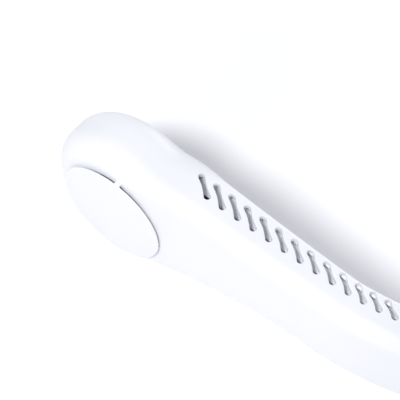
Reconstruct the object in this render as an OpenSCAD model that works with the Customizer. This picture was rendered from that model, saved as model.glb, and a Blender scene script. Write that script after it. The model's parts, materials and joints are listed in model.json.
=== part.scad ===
// Bladeless neck fan: two round fan heads on curved, slotted arms that meet in a neck bridge.
// The fan stands slots up, on both heads and the middle of the bridge. Heads lie towards -Y.
// A point on an arm is given by its run along the outer face, its depth inward and its height.

/* [Head] */
// Radius of a round fan head
head_r = 30; // [28:0.5:32]
// Thickness of a head, from outer face to inner face
head_t = 24.2; // [23.6:0.1:26]
// Rounding of the head's rim
head_edge_r = 9.9; // [9:0.1:10.6]
// Radius of the raised intake cover
cover_r = 21.1; // [20.4:0.1:22]
// How far the intake cover stands proud of the head
cover_proud = 1.6; // [1.4:0.05:1.9]
// Height of the air gap under the cover's rim
cover_gap = 0.9; // [0.7:0.05:1]
// Radius of the round cap on the head's inner face
cap_r = 21.5; // [21:0.1:22.5]

/* [Arm] */
// Length of the nearly straight run, from the head's centre
arm_run = 88; // [84:1:94]
// Angle by which the heads turn in towards each other at the front
toe_angle = 4; // [3:0.25:6]
// Radius of the arm's slight inward bow
bow_r = 2000; // [1500:50:3000]
// Top of the arm above the table
arm_top = 64.5; // [63:0.5:67]
// Underside of the arm above the table, at the crest
arm_under = 29.2; // [27:0.2:31]
// Length of the crest, where the underside is level
crest_flat = 14; // [10:1:18]
// Thickness that the arm's taper starts from, at the head's centre
arm_t = 19.3; // [18.8:0.1:20]
// Rounding of the arm's three broad edges
arm_edge_r = 5.7; // [5:0.1:6.2]
// Rounding of the arm's inner top edge
inner_edge_r = 2.2; // [1.8:0.1:2.6]
// How far before the end of the shoulder's turn the arm shell ends
hinge_lead = 2.3; // [1:0.1:4]

/* [Neck] */
// Radius of the outer face where the arm turns in behind the shoulder
shoulder_r = 76; // [73:1:80]
// Angle of that turn
shoulder_angle = 50; // [48:1:52]
// Radius of the outer face behind the neck
back_r = 100; // [96:1:108]
// Height of the bridge behind the neck
back_h = 38; // [37:0.5:41]
// Thickness of the bridge and of the arm's rear end
back_t = 15.6; // [15.2:0.1:16.4]
// Length of each ribbed sleeve between arm and bridge
sleeve_run = 18; // [17:0.5:19]
// Half the length on which the bridge stands flat
rest_run = 14; // [12:0.5:18]

/* [Shells] */
// Wall of the moulded shells
wall = 1.8; // [1.6:0.1:2]
// Thickness of the inner lids and the head caps
lid_t = 2; // [1.8:0.1:2.2]
// Play all round a lid or cap in its opening
lid_play = 0.12; // [0.1:0.02:0.2]
// Play between an inner piece and what carries it
seat_play = 0.1; // [0.06:0.02:0.14]

/* [Air slots] */
// Number of air slots in each arm
slot_count = 16; // [10:1:17]
// Run of the first slot's outer end
slot_first = 32.8; // [32.5:0.1:35]
// Distance from slot to slot
slot_pitch = 6.4; // [6:0.05:6.45]
// Run that each slot leans towards the head
slot_lean = 6.6; // [5:0.05:7]
// Depth of the slot's outer end
slot_outer = 8.8; // [8.4:0.1:9.2]
// Depth of the slot's inner end
slot_inner = 14; // [13.4:0.1:14.4]
// Radius of the slot's round ends
slot_end_r = 1.2; // [1:0.05:1.3]
// Width of the slot's waist
slot_waist = 1.64; // [1.4:0.05:1.8]
// Share of its length that each next slot loses at either end
slot_trim_share = 0.015; // [0:0.005:0.02]

/* [Blower] */
// Radius over the impeller's blades
wheel_r = 19.2; // [18.5:0.1:19.4]
// Height of the impeller
wheel_h = 12; // [11:0.5:12.5]
// Number of blades
blade_count = 26; // [20:1:30]
// Thickness of a blade
blade_t = 0.8; // [0.7:0.05:1]
// Radius of the motor's steel can
can_r = 8.7; // [8.4:0.1:8.9]
// Radius of the motor shaft
shaft_r = 1; // [0.9:0.05:1.1]
// Running play between shaft and bearing
run_play = 0.04; // [0.02:0.01:0.06]

/* [Hinge] */
// Radius of the steel hinge pin
pin_r = 1.5; // [1.3:0.1:1.7]
// Radius of the hinge eyes round the pin
eye_r = 3.9; // [3.6:0.1:4.1]
// Height of the arm's tongue
tongue_h = 11; // [10:0.5:12]
// Height of each ear of the fork
ear_h = 6; // [5:0.5:6.5]
// Play between tongue and ears
ear_play = 0.3; // [0.2:0.05:0.4]

/* [Controls] */
// Radius of the power button
button_r = 4.4; // [4:0.1:4.8]
// Travel of the power button
button_travel = 0.5; // [0.4:0.05:0.55]
// Run of the button's centre on the right arm
button_run = 64; // [62:0.5:68]
// Width of the charging port's shell
port_w = 8.94; // [8.9:0.02:9]
// Thickness of the charging port's shell
port_t = 3.2; // [3.1:0.02:3.26]
// Radius of each charge light
light_r = 0.9; // [0.8:0.05:1]

/* [Hidden] */
$fn = 48;

over = 1;
half_turn = 180;
right_angle = half_turn / 2;
deg = half_turn / PI;

white = "#f2f3f6";
grey = "#c9cbd0";
black = "#1c1c1e";
steel = "#b9bcc0";
brass = "#c8a85a";
copper = "#b8703c";
green = "#2c6b45";

// Outer face line: flat behind the intake cover, then three arcs of falling radius
face_margin = 0.9;
face_run = cover_r + face_margin;
h_toe = -toe_angle;
h_shoulder = h_toe + (arm_run - face_run) / bow_r * deg;
h_back = h_shoulder + shoulder_angle;
run_back = arm_run + shoulder_angle / deg * shoulder_r;
run_mid = run_back + (right_angle - h_back) / deg * back_r;
arm_end = run_back - hinge_lead;
bridge_start = arm_end + sleeve_run;
pivot_run = arm_end + sleeve_run / 2;

function heading(s) =
    s < face_run ? h_toe
    : s < arm_run ? h_toe + (s - face_run) / bow_r * deg
    : s < run_back ? h_shoulder + (s - arm_run) / shoulder_r * deg
    : h_back + (s - run_back) / back_r * deg;
function arc_step(r, from, to) = r * [cos(to) - cos(from), sin(to) - sin(from)];
function walked(s) =
    min(s, face_run) * [-sin(h_toe), cos(h_toe)]
    + (s > face_run ? arc_step(bow_r, h_toe, heading(min(s, arm_run))) : [0, 0])
    + (s > arm_run ? arc_step(shoulder_r, h_shoulder, heading(min(s, run_back))) : [0, 0])
    + (s > run_back ? arc_step(back_r, h_back, heading(s)) : [0, 0]);
// The frontmost point lies on the head's rounded rim
front_reach = cos(toe_angle) * (head_r - head_edge_r) + head_edge_r - sin(toe_angle) * head_edge_r;
head_x = -walked(run_mid)[0];
head_y = (front_reach - walked(run_mid)[1]) / 2;
function on_face(s) = [head_x, head_y] + walked(s);

// Side view: heights of the top and the underside along the run
function mix(a, b, t) = a + (b - a) * t;
function smooth(t) = let (c = min(max(t, 0), 1)) c * c * (3 - 2 * c);
function arch(a, slope_a, b, slope_b, run, t) =
    a * (1 + 2 * t) * (1 - t) * (1 - t) + slope_a * run * t * (1 - t) * (1 - t)
    + b * t * t * (3 - 2 * t) + slope_b * run * t * t * (t - 1);
rise_end = 36;
throat_run = 18;
throat_under = 10.4;
throat_slope_share = 0.54;
fall_lead = 7;
fall_start = arm_run + fall_lead;
crest_run = fall_start - crest_flat;
fall_end = run_mid - rest_run;
function fall(s) = smooth((s - fall_start) / (fall_end - fall_start));
function top_z(s) =
    s < fall_start ? mix(2 * head_r, arm_top, smooth(s / rise_end))
    : mix(arm_top, back_h, fall(s));
function under_z(s) =
    s < throat_run ? arch(0, 0, throat_under, throat_slope_share, throat_run, s / throat_run)
    : s < crest_run ? arch(throat_under, throat_slope_share, arm_under, 0, crest_run - throat_run,
        (s - throat_run) / (crest_run - throat_run))
    : mix(arm_under, 0, fall(s));

// Plan view: the head is a thick drum, which narrows to the arm on its inner side
bulge_start = 16;
edge_run = 22;
bulge_edge_r = 7.5;
function arm_thick(s) = mix(arm_t, back_t, min(s / arm_run, 1));
function thick(s) =
    mix(head_t, arm_thick(s), smooth((s - bulge_start) / (rise_end - bulge_start)));
function outer_edge(s) = mix(head_edge_r, arm_edge_r, smooth(s / edge_run));
// The drum falls away round the back of the head, so the inner top edge is widest there
function inner_edge(s) = mix(head_edge_r, inner_edge_r, smooth(s / rise_end))
    + (s > 0 && s < rise_end ? bulge_edge_r * pow(sin(half_turn * s / rise_end), 2) : 0);

// A section across the arm, as [depth, height] points. It is inset by g, on the inner side by gi.
// In front of the head's centre it is a section of the round drum.
edge_min_r = 0.4;
nose_rest = 0.02;
function corner(rd, rh, n) =
    [for (k = [0:n]) let (a = right_angle * k / n) [rd * (1 - cos(a)), rh * (1 - sin(a))]];
function drum_corner(s, fd, fh, n) =
    let (
        flat_r = head_r - head_edge_r,
        low = abs(s) > flat_r ? asin((abs(s) + nose_rest - flat_r) / fh) : 0
    )
    [for (k = [0:n])
        let (a = mix(low, right_angle, k / n))
        [fd * (1 - cos(a)), sqrt(pow(flat_r + fh * sin(a), 2) - s * s)]];
function flip(list) = [for (k = [len(list) - 1:-1:0]) list[k]];
function drum_section(s, g, gi, n) =
    let (
        fo = drum_corner(s, head_edge_r - g, head_edge_r - g, n),
        fi = drum_corner(s, head_edge_r - gi, head_edge_r - g, n)
    )
    concat(
        [for (c = fo) [g + c[0], head_r + c[1]]],
        [for (c = flip(fi)) [head_t - gi - c[0], head_r + c[1]]],
        [for (c = fi) [head_t - gi - c[0], head_r - c[1]]],
        [for (c = flip(fo)) [g + c[0], head_r - c[1]]]);
function arm_section(s, g, gi, n) =
    let (
        t = thick(s),
        hi = top_z(s) - g,
        lo = under_z(s) + g,
        ro = outer_edge(s),
        ri = inner_edge(s),
        co = corner(max(ro - g, edge_min_r), max(ro - g, edge_min_r), n),
        ci = corner(max(ri - gi, edge_min_r), max(ri - g, edge_min_r), n),
        cb = corner(max(ro - gi, edge_min_r), max(ro - g, edge_min_r), n)
    )
    concat(
        [for (c = co) [g + c[0], hi - c[1]]],
        [for (c = flip(ci)) [t - gi - c[0], hi - c[1]]],
        [for (c = cb) [t - gi - c[0], lo + c[1]]],
        [for (c = flip(co)) [g + c[0], lo + c[1]]]);
function section(s, g, gi, n) = s < 0 ? drum_section(s, g, gi, n) : arm_section(s, g, gi, n);
function panel(d0, d1, hi, lo) = [[d0, hi], [d1, hi], [d1, lo], [d0, lo]];

// Depth and height at a run, as a point; past the middle it lies on the other side
function placed(s, q) =
    s > run_mid
        ? let (m = placed(2 * run_mid - s, q)) [-m[0], m[1], m[2]]
        : let (p = on_face(s), h = heading(s)) [p[0] - cos(h) * q[0], p[1] - sin(h) * q[0], q[1]];
function along(s) = s > run_mid ? 2 * run_mid - s : s;

// A skin through a row of rings with equal numbers of points
module loft(rings) {
    n = len(rings[0]);
    m = len(rings);
    sides = [for (i = [0:m - 2]) for (k = [0:n - 1])
        let (a = i * n + k, b = i * n + (k + 1) % n)
        each [[a, b, b + n], [a, b + n, a + n]]];
    ends = [[for (k = [n - 1:-1:0]) k], [for (k = [0:n - 1]) (m - 1) * n + k]];
    polyhedron([for (ring = rings) each ring], concat(ends, sides), convexity = 8);
}
module skin(stops, g, gi_of, n) {
    loft([for (s = stops) [for (q = section(along(s), g, gi_of(along(s)), n)) placed(s, q)]]);
}
// A plank along the run: ring_of gives its four corners at each stop
module slab(stops, ring_of) {
    loft([for (s = stops) [for (q = ring_of(along(s))) placed(s, q)]]);
}
function stops(from, to, count) = [for (i = [0:count]) mix(from, to, i / count)];

// Frames to build in: on a head's axis, or on the outer face at a run; x points outward
module on_head() {
    translate([head_x, head_y, head_r]) rotate([0, 0, h_toe]) children();
}
module on_arm(s) {
    if (s > run_mid) mirror([1, 0, 0]) on_arm(2 * run_mid - s) children();
    else translate([on_face(s)[0], on_face(s)[1], 0]) rotate([0, 0, heading(s)]) children();
}
module on_side(side) {
    if (side > 0) children();
    else mirror([1, 0, 0]) children();
}
// Turns a shape drawn upward so that its height runs inward from the outer face
module inward() {
    rotate([0, -right_angle, 0]) children();
}
module tube(r_out, r_in, from, to) {
    translate([0, 0, from]) linear_extrude(to - from) difference() {
        circle(r_out);
        circle(r_in);
    }
}
module rod(r, from, to) {
    translate([0, 0, from]) cylinder(r = r, h = to - from);
}

// Arm shells
nose_angle = 86;
nose_steps = 6;
first_bay = 9;
function nose_stops(r, count) = [for (i = [0:count - 1]) -r * sin(nose_angle * (1 - i / count))];
arm_stops = concat(nose_stops(head_r, nose_steps), stops(0, rise_end, 7),
    stops(rise_end + first_bay, arm_end, 12));
cavity_stops = concat(nose_stops(head_r - wall, nose_steps), stops(0, rise_end, 6),
    stops(rise_end + first_bay, arm_end + over, 11));
function inner_wall(s) =
    mix(lid_t + ledge_t, lid_t, smooth((s - bulge_start) / (rise_end - bulge_start)));

// Lids, their screws and the bosses that the screws bite into
board_l = 33;
board_shift = 8;
control_run = button_run + board_shift;
boss_r = 2.6;
screw_r = 0.9;
screw_head_r = 1.8;
screw_head_h = 1;
screw_l = 7;
screw_sink = 0.1;
screw_play = 0.15;
function boss_z(s) = under_z(along(s)) + arm_edge_r + boss_r + seat_play;
lid_front_rim = 1;
lid_back_rim = 8;
lid_first = rise_end + lid_front_rim;
lid_last = arm_end - lid_back_rim;
bridge_lid_first = bridge_start + lid_back_rim;
bridge_lid_last = 2 * run_mid - bridge_lid_first;
arm_boss_rim = 6;
bridge_boss_rim = 4.9;
board_clear = 5.5;
// Two bosses stand clear of the control board's ends, the third near the lid's rear end
arm_boss_reach = board_l / 2 + board_clear;
arm_bosses = [control_run - arm_boss_reach, control_run + arm_boss_reach, lid_last - arm_boss_rim];
bridge_boss_reach = run_mid - bridge_lid_first - bridge_boss_rim;
bridge_bosses = [run_mid - bridge_boss_reach, run_mid, run_mid + bridge_boss_reach];
// Opening of a lid, or the lid itself when drawn with play
function lid_ring(s, d0, d1, play) =
    panel(d0, d1, top_z(s) - inner_edge_r - play, under_z(s) + arm_edge_r + play);
module lid_opening(from, to, count) {
    slab(stops(from, to, count), function (s) lid_ring(s, thick(s) - lid_t - over, thick(s) + over, 0));
}
module lid_plate(from, to, count, runs) {
    difference() {
        slab(stops(from + lid_play, to - lid_play, count),
            function (s) lid_ring(s, thick(s) - lid_t, thick(s), lid_play));
        for (s = runs) on_arm(s) translate([0, 0, boss_z(s)]) inward() {
            rod(screw_r + screw_play, thick(along(s)) - lid_t - over, thick(along(s)) + over);
            rod(screw_head_r + screw_play, thick(along(s)) - screw_head_h - screw_sink,
                thick(along(s)) + over);
        }
    }
}
module lid_bosses(runs) {
    for (s = runs) on_arm(s) translate([0, 0, boss_z(s)]) inward()
        rod(boss_r, wall / 2, thick(along(s)) - lid_t - seat_play);
}
module lid_pilots(runs) {
    for (s = runs) on_arm(s) translate([0, 0, boss_z(s)]) inward()
        rod(screw_r + fit_play, thick(along(s)) - screw_head_h - screw_l - over, thick(along(s)) + over);
}
module screw(floor, l) {
    rod(screw_head_r, floor, floor + screw_head_h);
    rod(screw_r, floor - l, floor + screw_head_h / 2);
}
module lid_screws(runs) {
    for (s = runs) on_arm(s) translate([0, 0, boss_z(s)]) inward()
        screw(thick(along(s)) - screw_head_h - screw_sink, screw_l);
}

// Head: intake mouth on the outer face, capped opening on the inner face
fit_play = 0.01;
ledge_t = 1.2;
ledge_w = 1.3;
mouth_r = 17.5;
mouth_flare_r = 19.4;
mouth_flare_t = 1.1;
flare_slope = (mouth_flare_r - mouth_r) / mouth_flare_t;
cap_floor = head_t - lid_t;
lug_r = 2.2;
lug_l = 4.4;
lug_place_r = cap_r - lug_r;
lug_angles = [30, 150, 270];
// Turns the seams of the round cuts away from the skin's own rings
seam_angle = 13;
cap_screw_l = 4.2;
cap_screw_floor = head_t - screw_head_h - screw_sink;

module slot_cut(i) {
    s = slot_first + i * slot_pitch;
    trim = i * slot_trim_share;
    outer_end = placed(s, [slot_outer, 0]);
    inner_end = placed(s - slot_lean, [slot_inner, 0]);
    a = mix(outer_end, inner_end, trim);
    d = mix(inner_end, outer_end, trim) - a;
    depth = 2 * wall + over;
    translate([a[0], a[1], top_z(s - slot_lean / 2) - depth]) linear_extrude(depth + 2 * over) {
        circle(slot_end_r, $fn = 24);
        translate([d[0], d[1]]) circle(slot_end_r, $fn = 24);
        rotate(atan2(d[1], d[0])) translate([0, -slot_waist / 2]) square([norm(d), slot_waist]);
    }
}
module arm_shell(side) {
    color(white) on_side(side) difference() {
        union() {
            difference() {
                skin(arm_stops, 0, function (s) 0, 4);
                skin(cavity_stops, wall, function (s) inner_wall(s), 3);
                lid_opening(lid_first, lid_last, 11);
                on_head() inward() rotate(seam_angle) {
                    rod(cap_r + lid_play, cap_floor, head_t + over);
                    rod(cap_r - ledge_w, cap_floor - ledge_t - over, cap_floor + over);
                }
            }
            lid_bosses(arm_bosses);
            on_head() inward() for (a = lug_angles) rotate(a) translate([lug_place_r, 0])
                rotate(seam_angle) rod(lug_r, cap_floor - lug_l, cap_floor - seat_play);
            if (side < 0) board_posts();
        }
        for (i = [0:slot_count - 1]) slot_cut(i);
        lid_pilots(arm_bosses);
        on_head() inward() {
            rotate(seam_angle) {
                rod(mouth_r, -over, wall + over);
                translate([0, 0, -over]) cylinder(r1 = mouth_flare_r + over * flare_slope, r2 = mouth_r,
                    h = mouth_flare_t + over);
            }
            for (a = lug_angles) rotate(a) translate([lug_place_r, 0])
                rod(screw_r + fit_play, cap_screw_floor - cap_screw_l - screw_play, head_t);
        }
        if (side < 0) control_holes();
    }
}
module arm_lid(side) {
    color(white) on_side(side) lid_plate(lid_first, lid_last, 11, arm_bosses);
}
module arm_screws(side) {
    color(steel) on_side(side) lid_screws(arm_bosses);
}

// Neck bridge
bridge_stops = stops(bridge_start, 2 * run_mid - bridge_start, 14);
bridge_cavity_stops = stops(bridge_start - over, 2 * run_mid - bridge_start + over, 14);
module neck_bridge_shell() {
    color(white) difference() {
        union() {
            difference() {
                skin(bridge_stops, 0, function (s) 0, 4);
                skin(bridge_cavity_stops, wall, function (s) lid_t, 3);
                lid_opening(bridge_lid_first, bridge_lid_last, 12);
            }
            lid_bosses(bridge_bosses);
        }
        lid_pilots(bridge_bosses);
    }
}
module neck_bridge_lid() {
    color(white) lid_plate(bridge_lid_first, bridge_lid_last, 12, bridge_bosses);
}
module neck_bridge_screws() {
    color(steel) lid_screws(bridge_bosses);
}
// The two cells fill the room between the bosses and the rounded edges
cell_t = 8.4;
cell_gap_run = 6;
cell_clear = 4;
cell_l = bridge_boss_reach - boss_r - cell_clear - cell_gap_run;
cell_run = run_mid - cell_gap_run - cell_l / 2;
cell_low = under_z(cell_run - cell_l / 2) + arm_edge_r;
cell_high = back_h - arm_edge_r;
// Room that the curved outer wall takes over the cell's flat length
cell_sag = pow(cell_l / 2, 2) / 2 / (back_r - wall);
module battery_cells() {
    color(grey) for (s = [cell_run, 2 * run_mid - cell_run]) on_arm(s)
        translate([-wall - cell_sag - seat_play - cell_t, -cell_l / 2, cell_low])
            cube([cell_t, cell_l, cell_high - cell_low]);
}

// Neck hinges: a fork on the bridge, a tongue on the arm and a steel pin between
plug_run = 6;
plug_play = 0.25;
pivot = placed(pivot_run, [thick(pivot_run) / 2, 0]);
pivot_z = (top_z(pivot_run) + under_z(pivot_run)) / 2;
neck_w = 6.4;
module hinge_plug(from, to) {
    skin(stops(from, to, 1), wall + plug_play, function (s) lid_t + plug_play, 3);
}
module hinge_leaf(s, z0, z1, play) {
    root = placed(s, [thick(s) / 2, 0]);
    d = root - pivot;
    translate([pivot[0], pivot[1], z0]) linear_extrude(z1 - z0) difference() {
        union() {
            circle(eye_r);
            rotate(atan2(d[1], d[0])) translate([0, -neck_w / 2]) square([norm(d), neck_w]);
        }
        circle(pin_r + play);
    }
}
ear_low = pivot_z - tongue_h / 2 - ear_play - ear_h;
ear_high = pivot_z + tongue_h / 2 + ear_play;
module hinge_fork(side) {
    color(grey) on_side(side) {
        hinge_plug(bridge_start, bridge_start + plug_run);
        for (z = [ear_low, ear_high]) hinge_leaf(bridge_start + plug_run / 2, z, z + ear_h, fit_play);
    }
}
module hinge_tongue(side) {
    color(grey) on_side(side) {
        hinge_plug(arm_end - plug_run, arm_end);
        hinge_leaf(arm_end - plug_run / 2, pivot_z - tongue_h / 2, pivot_z + tongue_h / 2, run_play);
    }
}
module hinge_pin(side) {
    color(steel) on_side(side) translate([pivot[0], pivot[1]]) rod(pin_r, ear_low, ear_high + ear_h);
}
sleeve_ribs = 5;
sleeve_valley = 1.4;
sleeve_crest = 0.2;
sleeve_wall = 3;
module sleeve(side) {
    rings = 2 * sleeve_ribs;
    color(grey) on_side(side) difference() {
        loft([for (i = [0:rings])
            let (s = mix(arm_end + lid_play, bridge_start - lid_play, i / rings))
            [for (q = arm_section(s, i % 2 == 0 ? sleeve_crest : sleeve_valley,
                i % 2 == 0 ? sleeve_crest : sleeve_valley, 4)) placed(s, q)]]);
        skin(stops(arm_end - over, bridge_start + over, 4), sleeve_wall, function (s) sleeve_wall, 2);
    }
}

// Intake cover: a raised plate on four posts, clipped into the mouth
cover_round = 0.25;
cover_dish_r = 15.5;
cover_dish = 0.5;
post_w = 2;
post_angle = 6;
hook_play = 0.25;
hook_t = 1.1;
hook_barb = 0.6;
hook_l = 1.4;
hook_angle = 24;
module intake_cover(side) {
    hook_r = mouth_r - hook_play;
    color(white) on_side(side) on_head() inward() {
        rotate_extrude($fn = 96) polygon([
            [0, -cover_proud], [cover_r - cover_round, -cover_proud], [cover_r, -cover_proud + cover_round],
            [cover_r, -cover_gap], [mouth_flare_r, -cover_gap], [cover_dish_r, cover_dish], [0, cover_dish]]);
        for (k = [0:3]) rotate(post_angle + k * right_angle) {
            translate([mouth_flare_r + hook_play, -post_w / 2, -cover_gap - cover_round])
                cube([cover_r - mouth_flare_r - 2 * hook_play, post_w, cover_gap + cover_round]);
            rotate((right_angle - hook_angle) / 2) rotate_extrude(angle = hook_angle, $fn = 96) polygon([
                [hook_r - hook_t, -cover_gap], [hook_r, -cover_gap], [hook_r, wall + seat_play],
                [hook_r + hook_barb, wall + seat_play], [hook_r, wall + hook_l],
                [hook_r - hook_t, wall + hook_l]]);
        }
    }
}

// Head cap: closes the inner face, lets air in through rings of slots and carries the motor
grille_rings = [10.9, 13.2, 15.5];
grille_w = 1.5;
spokes = 6;
spoke_w = 1.8;
mount_screw_r = 0.7;
mount_screw_place_r = 7.8;
mount_screw_l = 2.4;
mount_screw_bite = 1.4;
mount_angles = [0, 120, 240];
module head_cap(side) {
    color(white) on_side(side) on_head() inward() difference() {
        translate([0, 0, cap_floor]) linear_extrude(lid_t) difference() {
            circle(cap_r);
            for (r = grille_rings) difference() {
                circle(r + grille_w);
                circle(r);
                for (k = [0:spokes - 1]) rotate(360 / spokes * k) translate([0, -spoke_w / 2])
                    square([cap_r, spoke_w]);
            }
        }
        for (a = lug_angles) rotate(a) translate([lug_place_r, 0]) {
            rod(screw_r + screw_play, cap_floor - over, head_t + over);
            rod(screw_head_r + screw_play, cap_screw_floor, head_t + over);
        }
        for (a = mount_angles) rotate(a) translate([mount_screw_place_r, 0])
            rod(mount_screw_r + fit_play, cap_floor - over, cap_floor + mount_screw_bite);
    }
}
module cap_screws(side) {
    color(steel) on_side(side) on_head() inward() for (a = lug_angles) rotate(a)
        translate([lug_place_r, 0]) screw(cap_screw_floor, cap_screw_l);
}

// Air duct: a spiral wall round the impeller that runs on as the floor of the arm's duct
duct_wall = 1.2;
duct_play = 0.15;
duct_h = 9;
duct_end = arm_end - plug_run - seat_play;
scroll_start_angle = 62;
scroll_end_angle = 235;
scroll_steps = 16;
tongue_play = 1.3;
scroll_low_r = wheel_r + tongue_play;
scroll_high_r = 27;
scroll_run = scroll_low_r * sin(scroll_start_angle);
scroll_z = head_r + scroll_low_r * cos(scroll_start_angle);
duct_rise_run = 14;
function duct_floor(s) = mix(scroll_z, top_z(s) - duct_h, smooth((s - scroll_run) / duct_rise_run));
function scroll_point(a, side_t) =
    let (
        t = (a - scroll_start_angle) / (scroll_end_angle - scroll_start_angle),
        r = mix(scroll_low_r, scroll_high_r, t) + side_t
    )
    r * [cos(a), sin(a)];
function scroll_edge(side_t) =
    [for (i = [0:scroll_steps])
        scroll_point(mix(scroll_start_angle, scroll_end_angle, i / scroll_steps), side_t)];
module air_duct(side) {
    color(grey) on_side(side) intersection() {
        skin(concat(nose_stops(head_r - wall - duct_play, nose_steps), stops(0, rise_end, 6),
            stops(rise_end + first_bay, duct_end, 10)), wall + duct_play,
            function (s) inner_wall(s) + duct_play, 3);
        union() {
            slab(concat(stops(scroll_run, rise_end, 3), stops(rise_end + first_bay, duct_end + over, 10)),
                function (s) panel(0, thick(s), duct_floor(s), duct_floor(s) - duct_wall));
            on_head() inward() translate([0, 0, wall / 2]) linear_extrude(cap_floor)
                polygon(concat(scroll_edge(duct_wall / 2), flip(scroll_edge(-duct_wall / 2))));
        }
    }
}
foam_run = [30, 34];
foam_depth = 10.1;
foam_down = 3;
foam_corner_play = 0.4;
foam_back = arm_edge_r - sqrt(pow(arm_edge_r - wall - foam_corner_play, 2) - pow(arm_edge_r - foam_down, 2));
module foam_seal(side) {
    color(black) on_side(side) slab(foam_run, function (s)
        panel(foam_back, foam_depth, top_z(s) - foam_down, duct_floor(s) + seat_play));
}

// Motor, from the cap outward: mount with bearing tube, board, stator, rotor
wheel_top = 4.6;
mount_r = 10;
mount_t = 1.3;
tube_r = 3;
tube_bore_r = 2.5;
tube_top = 10;
module motor_mount(side) {
    color(grey) on_side(side) on_head() inward() difference() {
        union() {
            rod(mount_r, cap_floor - mount_t, cap_floor);
            rod(tube_r, tube_top, cap_floor - mount_t / 2);
        }
        rod(tube_bore_r, tube_top - over, cap_floor + over);
        for (a = mount_angles) rotate(a) translate([mount_screw_place_r, 0])
            rod(mount_screw_r + screw_play, cap_floor - mount_t - over, cap_floor + over);
    }
}
mount_head_r = 1.3;
mount_head_h = 0.8;
module mount_screws(side) {
    color(steel) on_side(side) on_head() inward() for (a = mount_angles) rotate(a)
        translate([mount_screw_place_r, 0]) {
            rod(mount_head_r, cap_floor - mount_t - mount_head_h, cap_floor - mount_t);
            rod(mount_screw_r, cap_floor - mount_t - mount_head_h / 2,
                cap_floor - mount_t - mount_head_h / 2 + mount_screw_l);
        }
}
board_t = 0.8;
board_top = 18.4;
board_r = 8;
module motor_board(side) {
    color(green) on_side(side) on_head() inward()
        tube(board_r, tube_r + fit_play, board_top, board_top + board_t);
}
bearing_h = 2.2;
bearing_tops = [10.3, 19];
module bearings(side) {
    color(brass) on_side(side) on_head() inward() for (d = bearing_tops)
        tube(tube_bore_r - fit_play, shaft_r + run_play, d, d + bearing_h);
}
hub_sink = 3.6;
can_top = wheel_top + hub_sink;
can_t = 0.7;
magnet_t = 1;
teeth = 9;
tooth_w = 1.1;
air_gap = 0.35;
stator_sink = 2.5;
stator_top = can_top + stator_sink;
stator_h = 4.8;
core_r = 3.9;
stator_r = can_r - can_t - magnet_t - air_gap;
shoe_t = 0.7;
shoe_gap = 1;
module stator(side) {
    color(steel) on_side(side) on_head() inward() translate([0, 0, stator_top]) linear_extrude(stator_h)
        difference() {
            union() {
                circle(core_r);
                difference() {
                    circle(stator_r);
                    circle(stator_r - shoe_t);
                    for (k = [0:teeth - 1]) rotate(360 / teeth * (k + 1 / 2)) translate([0, -shoe_gap / 2])
                        square([can_r, shoe_gap]);
                }
                for (k = [0:teeth - 1]) rotate(360 / teeth * k)
                    translate([core_r / 2 + tube_r / 2, -tooth_w / 2])
                    square([stator_r - shoe_t / 2 - core_r / 2 - tube_r / 2, tooth_w]);
            }
            circle(tube_r + fit_play);
        }
}
coil_w = 2.5;
coil_over = 0.7;
coil_play = 0.05;
module coils(side) {
    shoe_in_r = stator_r - shoe_t - coil_play;
    l = sqrt(pow(shoe_in_r, 2) - pow(coil_w / 2, 2)) - core_r - 2 * coil_play;
    color(copper) on_side(side) on_head() inward() for (k = [0:teeth - 1]) rotate(360 / teeth * k)
        translate([core_r + 2 * coil_play, 0, stator_top + stator_h / 2]) difference() {
            translate([0, -coil_w / 2, -stator_h / 2 - coil_over])
                cube([l, coil_w, stator_h + 2 * coil_over]);
            translate([-over, -tooth_w / 2 - coil_play, -stator_h / 2 - coil_play])
                cube([l + 2 * over, tooth_w + 2 * coil_play, stator_h + 2 * coil_play]);
        }
}
can_h = 8.2;
module rotor_can(side) {
    color(steel) on_side(side) on_head() inward() difference() {
        rod(can_r, can_top, can_top + can_h);
        rod(can_r - can_t, can_top + can_t, can_top + can_h + over);
        rod(shaft_r + fit_play, can_top - over, can_top + over);
    }
}
magnet_sink = 0.6;
magnet_top = can_top + can_t + magnet_sink;
module magnet_ring(side) {
    color(black) on_side(side) on_head() inward()
        tube(can_r - can_t - fit_play, can_r - can_t - magnet_t, magnet_top, can_top + can_h - seat_play);
}
shaft_l = 12.6;
module shaft(side) {
    color(steel) on_side(side) on_head() inward() rod(shaft_r, can_top, can_top + shaft_l);
}
hub_t = 0.9;
blade_root_r = 13.4;
blade_inset = 0.3;
blade_sweep_angle = 26;
blade_steps = 4;
ring_w = 1.3;
ring_t = 0.9;
web_top = wheel_top + wheel_h / 2 - ring_t / 2;
function blade_point(t, side_t) =
    let (r = mix(blade_root_r, wheel_r - blade_inset, t), a = blade_sweep_angle * t * t + side_t / r * deg)
    r * [cos(a), sin(a)];
module impeller(side) {
    color(grey) on_side(side) on_head() inward() {
        difference() {
            rod(can_r + seat_play + hub_t, can_top - seat_play - hub_t, can_top + can_h);
            rod(can_r + seat_play, can_top - seat_play, can_top + can_h + over);
        }
        tube(blade_root_r + ring_w, can_r + seat_play + hub_t / 2, web_top, web_top + ring_t);
        for (d = [wheel_top, wheel_top + wheel_h - ring_t]) tube(wheel_r, wheel_r - ring_w, d, d + ring_t);
        for (k = [0:blade_count - 1]) rotate(360 / blade_count * k)
            translate([0, 0, wheel_top + ring_t / 2]) linear_extrude(wheel_h - ring_t) polygon(concat(
                [for (i = [0:blade_steps]) blade_point(i / blade_steps, -blade_t / 2)],
                [for (i = [blade_steps:-1:0]) blade_point(i / blade_steps, blade_t / 2)]));
    }
}

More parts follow.
